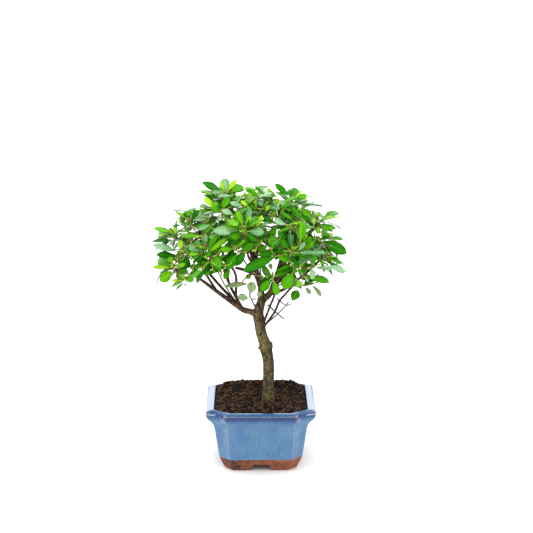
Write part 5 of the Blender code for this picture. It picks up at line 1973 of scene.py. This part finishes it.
    def hides_chosen(self, leaf: Leaf) -> bool:
        """Whether a leaf would hang in front of a chosen one.

        Args:
            leaf: the leaf.

        Returns:
            True where it would.
        """
        middle = leaf.middle
        for root, tip, half in self.shown:
            away = middle - root.lerp(tip, 0.5)
            before = away.dot(SIGHT)
            if before < 0.0 or (away - SIGHT * before).length > (leaf.length + (tip - root).length) / 2:
                continue
            for place in leaf.outline + [middle]:
                level = place - SIGHT * (place - root).dot(SIGHT)
                flat = tip - SIGHT * (tip - root).dot(SIGHT)
                nearest, share = intersect_point_line(level, root, flat)
                if 0.0 < share < 1.0 and (nearest - level).length < half + 0.5 * MM:
                    return True
        return False

    def try_leaf(self, root: Vector, axis: Vector, azimuth: float, lean: float, length: float,
            tone: Tone, mass: Mass) -> bool:
        """Adds a leaf, turned or shortened to fit.

        Args:
            root: where its stalk leaves the twig.
            axis: the shoot's axis.
            azimuth: its turn about the axis.
            lean: how far it leans from the axis.
            length: its blade's length in metres.
            tone: its colour.
            mass: the mass that it belongs to.

        Returns:
            True where it found room.
        """
        width = length * self.leaf_width * self.draw.uniform(0.86, 1.12)
        droop, fold = self.draw.uniform(0.06, 0.24), self.draw.uniform(0.05, 0.32)
        twist = self.draw.uniform(-0.3, 0.3)
        for cut in self.cuts:
            for turn, more in self.turns:
                frame = self.lean_out(root, axis, azimuth + turn, lean + more)
                leaf = Leaf(root, frame, length * cut, width * cut, droop, fold, twist, tone)
                if self.is_free(leaf, mass) and not self.hides_chosen(leaf):
                    self.proxies.append((leaf.middle, leaf.skin))
                    self.leaves.append(leaf)
                    return True
        return False

    def tone_of(self, share: float, mass: Mass, height: float) -> Tone:
        """Picks a leaf's tone.

        Args:
            share: its place on the shoot, from 0 at the foot to 1 at the tip.
            mass: its mass.
            height: its height in the crown, from 0 to 1.

        Returns:
            The tone.
        """
        if mass.mood is Mood.DULL:
            return Tone.DULL
        light = share * 0.45 + height * 0.35 + self.draw.uniform(0.0, 0.45)
        light += {Mood.FRESH: 0.16, Mood.FULL: 0.0, Mood.SHADED: -0.06}[mass.mood]
        # Some leaves take the tone with the painted sheen.
        if self.draw.random() < self.painted_sheen_share:
            return Tone.WAXY
        if light > self.fresh_light:
            return Tone.FRESH
        return Tone.FULL if light > self.full_light else Tone.DEEP

    def grow_whorl(self, line: Line, mass: Mass, fine: bool) -> None:
        """Grows a shoot's leaves: a spiral of full ones under its tip, and young ones upright in it.

        Args:
            line: the shoot's twig.
            mass: its mass.
            fine: whether it is a finer shoot, which has two leaves fewer.
        """
        tip = line[-1]
        axis = self.axis(tip)
        down = (line[-2] - tip).normalized()
        height = min(1.0, max(0.0, (tip.z / MM - 210.0) / 130.0))
        leaves = mass.leaves - (2 if fine else 0)
        for i in range(leaves):
            share = i / max(1, leaves - 1)
            root = tip + down * self.root_step * MM * (leaves - 0.5 - i)
            low, rise = {Mood.FRESH: (84, 42), Mood.SHADED: (96, 42)}.get(mass.mood, (88, 40))
            lean = math.radians(low - rise * share + self.draw.uniform(-9.0, 9.0))
            scale = mass.leaf_scale * self.draw.uniform(0.7, 1.15)
            length = self.leaf_length * scale * (1.0 - 0.15 * share) * MM
            azimuth = i * GOLDEN_ANGLE + self.draw.uniform(-0.25, 0.25)
            tone = self.tone_of(share, mass, height)
            self.try_leaf(root, axis, azimuth, lean, length, tone, mass)
        if mass.mood is Mood.DULL or leaves < 3:
            return
        young = self.draw.choice((0, 1, 2, 2, 3) if mass.mood is Mood.FRESH else (0, 0, 1, 1, 2))
        for i in range(young):
            length = self.draw.uniform(9.0, 17.0) * MM
            lean = math.radians(self.draw.uniform(12.0, 34.0))
            self.try_leaf(tip, axis, i * 2.4 + self.draw.uniform(-0.4, 0.4), lean, length, Tone.YOUNG, mass)

    def make_twigs(self) -> None:
        """Makes the woody twigs, this year's green ends of the shoots and the leaves' stalks."""
        wood, green, stalks = Batch("twig_wood"), Batch("green_shoots"), Batch("leaf_stalks")
        for twig in self.twigs:
            if twig.mass.name == BARE_WHIP:
                continue
            last = len(twig.line) - 1
            taper = twig.tip_radius - twig.foot_radius
            radii = [twig.foot_radius + taper * i / last for i in range(last + 1)]
            line, widths = smooth_line(twig.line, radii, self.stem_step * MM)
            green_points = 1 if twig.mass.trunk_height else round(self.green_stem / self.stem_step)
            split = max(1, len(line) - 1 - green_points)
            wood.add(*tube(line[:split + 1], widths[:split + 1], 7))
            end = line[-1] + self.axis(line[-1]) * 1.6 * MM
            green.add(*tube(line[split:] + [end], widths[split:] + [0.3 * MM], 7))
        for leaf in self.leaves:
            start = leaf.foot - leaf.frame.col[0].to_3d() * 0.4 * MM
            middle = leaf.frame @ Vector((leaf.petiole * 0.5 * MM, 0.0, 0.12 * MM))
            end = leaf.frame @ leaf.bend(0.07, 0.0)
            thick = min(0.5, 0.2 + 0.011 * leaf.length / MM) * MM
            stalks.add(*tube([start, middle, end], [thick * 1.15, thick, thick * 0.8], 5))
        masses = [mass.name for mass in MASSES]
        finishes = (
            (wood, YoungStem("last_years_twig", "#523322", "#7C5A38")),
            (green, YoungStem("green_shoot", "#6E8424", "#9CA23C")),
            (stalks, YoungStem("leaf_stalk", "#A3A544", "#C6B65A")),
        )
        for batch, finish in finishes:
            settle(batch.make([finish.build()]), Slot.LEAF, masses, self.centre)

    def make_leaves(self) -> None:
        """Makes the leaves, each tone one piece."""
        self.draw = random.Random(self.seed)
        batches = {tone: Batch(f"foliage_{tone.value.tone}") for tone in Tone}
        for leaf in self.leaves:
            batches[leaf.tone].add(*leaf.blade(self.draw.random()))
        masses = [mass.name for mass in MASSES]
        for tone, batch in batches.items():
            settle(batch.make(tone.value.build(), "leaf_place"), Slot.LEAF, masses, self.centre)

    def build(self) -> None:
        """Grows and makes all the foliage."""
        shoots = []
        for index, mass in enumerate(MASSES):
            self.draw = random.Random(self.seed + index)
            for number, line in enumerate(self.grow_twigs(mass)):
                shoots.append((line, mass, number >= mass.shoots))
        self.place_chosen([line[-1] for line, _, _ in shoots])
        self.draw = random.Random(self.seed - 1)
        for line, mass, fine in shoots:
            self.grow_whorl(line, mass, fine)
        LOG.info("%d shoots, %d leaves", len(shoots), len(self.leaves))
        self.make_twigs()
        self.make_leaves()


@dataclass
class Studio:
    """A pale floor, soft light from above and all round, and the camera at the photo's angle."""

    centre: Vector
    floor_radius: float = 8.0
    floor_height: float = -0.0002
    rim_radius: float = 16.0
    rim_rise: float = 1.1
    # Each softbox's name, place and size in metres, and power in watts.
    softboxes: tuple[tuple[str, Place, Pair, float], ...] = (
        ("key_softbox", (-0.75, -0.55, 1.5), (0.9, 0.9), 6.0),
        ("front_softbox", (0.1, -1.3, 1.25), (0.4, 0.4), 4.5),
        ("back_softbox", (0.0, 2.2, 0.98), (2.6, 0.9), 20.0),
    )
    aim_height: float = 120.0
    horizon_strength: float = 0.72
    zenith_strength: float = 1.6
    camera_place: Place = (-11.0, -1488.0, 611.0)
    camera_pitch: float = 14.01
    camera_yaw: float = 0.70
    focal_px: float = 1300.0
    frame_px: float = 533.0
    sensor: float = 36.0
    camera_reach: float = 200.0

    def lay_floor(self) -> None:
        """Lays a round sheet of paper that reaches past the view on every side, and rises at its far rim."""
        mesh = bpy.data.meshes.new("studio_floor")
        disc = bmesh.new()
        bmesh.ops.create_circle(disc, cap_ends=True, segments=96, radius=self.floor_radius)
        rim = bmesh.ops.extrude_edge_only(disc, edges=disc.edges[:])["geom"]
        for vert in (part for part in rim if isinstance(part, bmesh.types.BMVert)):
            vert.co = vert.co * self.rim_radius / self.floor_radius + UP * self.rim_rise
        disc.to_mesh(mesh)
        disc.free()
        mesh.materials.append(StudioPaper().build())
        floor = put("studio_floor", mesh)
        floor.location.z = self.floor_height

    def hang_lights(self) -> None:
        """Hangs a soft key light above the left, a small one in front and a wide one low behind."""
        aim = self.centre + mm(0, 0, self.aim_height)
        for name, place, size, power in self.softboxes:
            light = bpy.data.lights.new(name, "AREA")
            light.shape = "RECTANGLE"
            light.size, light.size_y = size
            light.energy = power
            lamp = put(name, light)
            lamp.location = Vector(place) + self.centre
            lamp.rotation_euler = (aim - lamp.location).to_track_quat("-Z", "Y").to_euler()

    def set_sky(self) -> None:
        """Sets a white surround that is brighter overhead, and shows colours as they are."""
        world = bpy.data.worlds.new("studio_surround")
        world.use_nodes = True
        tree = world.node_tree
        way = add_node(tree, "TexCoord").outputs["Generated"]
        height = add_node(tree, "SeparateXYZ", {"Vector": way})
        strength = add_node(tree, "MapRange", {"Value": height.outputs["Z"], "To Min": self.horizon_strength,
            "To Max": self.zenith_strength})
        feed(tree.nodes["Background"], {"Color": (1.0, 1.0, 1.0, 1.0), "Strength": strength})
        bpy.context.scene.world = world
        bpy.context.scene.view_settings.view_transform = "Standard"

    def place_camera(self) -> None:
        """Places the camera at the photo's angle, worked out from the planter's corners."""
        camera = bpy.data.cameras.new("front_camera")
        camera.sensor_width = self.sensor
        camera.lens = self.focal_px * self.sensor / self.frame_px
        camera.clip_end = self.camera_reach
        holder = put("front_camera", camera)
        holder.location = self.centre + mm(*self.camera_place)
        pitch, yaw = math.radians(self.camera_pitch), math.radians(self.camera_yaw)
        ahead = Vector((math.sin(yaw) * math.cos(pitch), math.cos(yaw) * math.cos(pitch), -math.sin(pitch)))
        holder.rotation_euler = ahead.to_track_quat("-Z", "Y").to_euler()
        bpy.context.scene.camera = holder

    def build(self) -> None:
        """Sets up the floor, the light and the camera."""
        self.lay_floor()
        self.hang_lights()
        self.set_sky()
        self.place_camera()


def main() -> None:
    """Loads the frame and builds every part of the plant."""
    logging.basicConfig(level=logging.INFO, format="%(message)s")
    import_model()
    low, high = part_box("pot")
    centre = Vector(((low.x + high.x) / 2, (low.y + high.y) / 2, 0.0))
    Studio(centre).build()
    planter = Planter(centre)
    planter.build()
    PottingSoil(planter).build()
    crown = Crown()
    Woodwork(crown, centre).build()
    Foliage(crown, centre).build()
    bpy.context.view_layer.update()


if __name__ == "__main__":
    main()
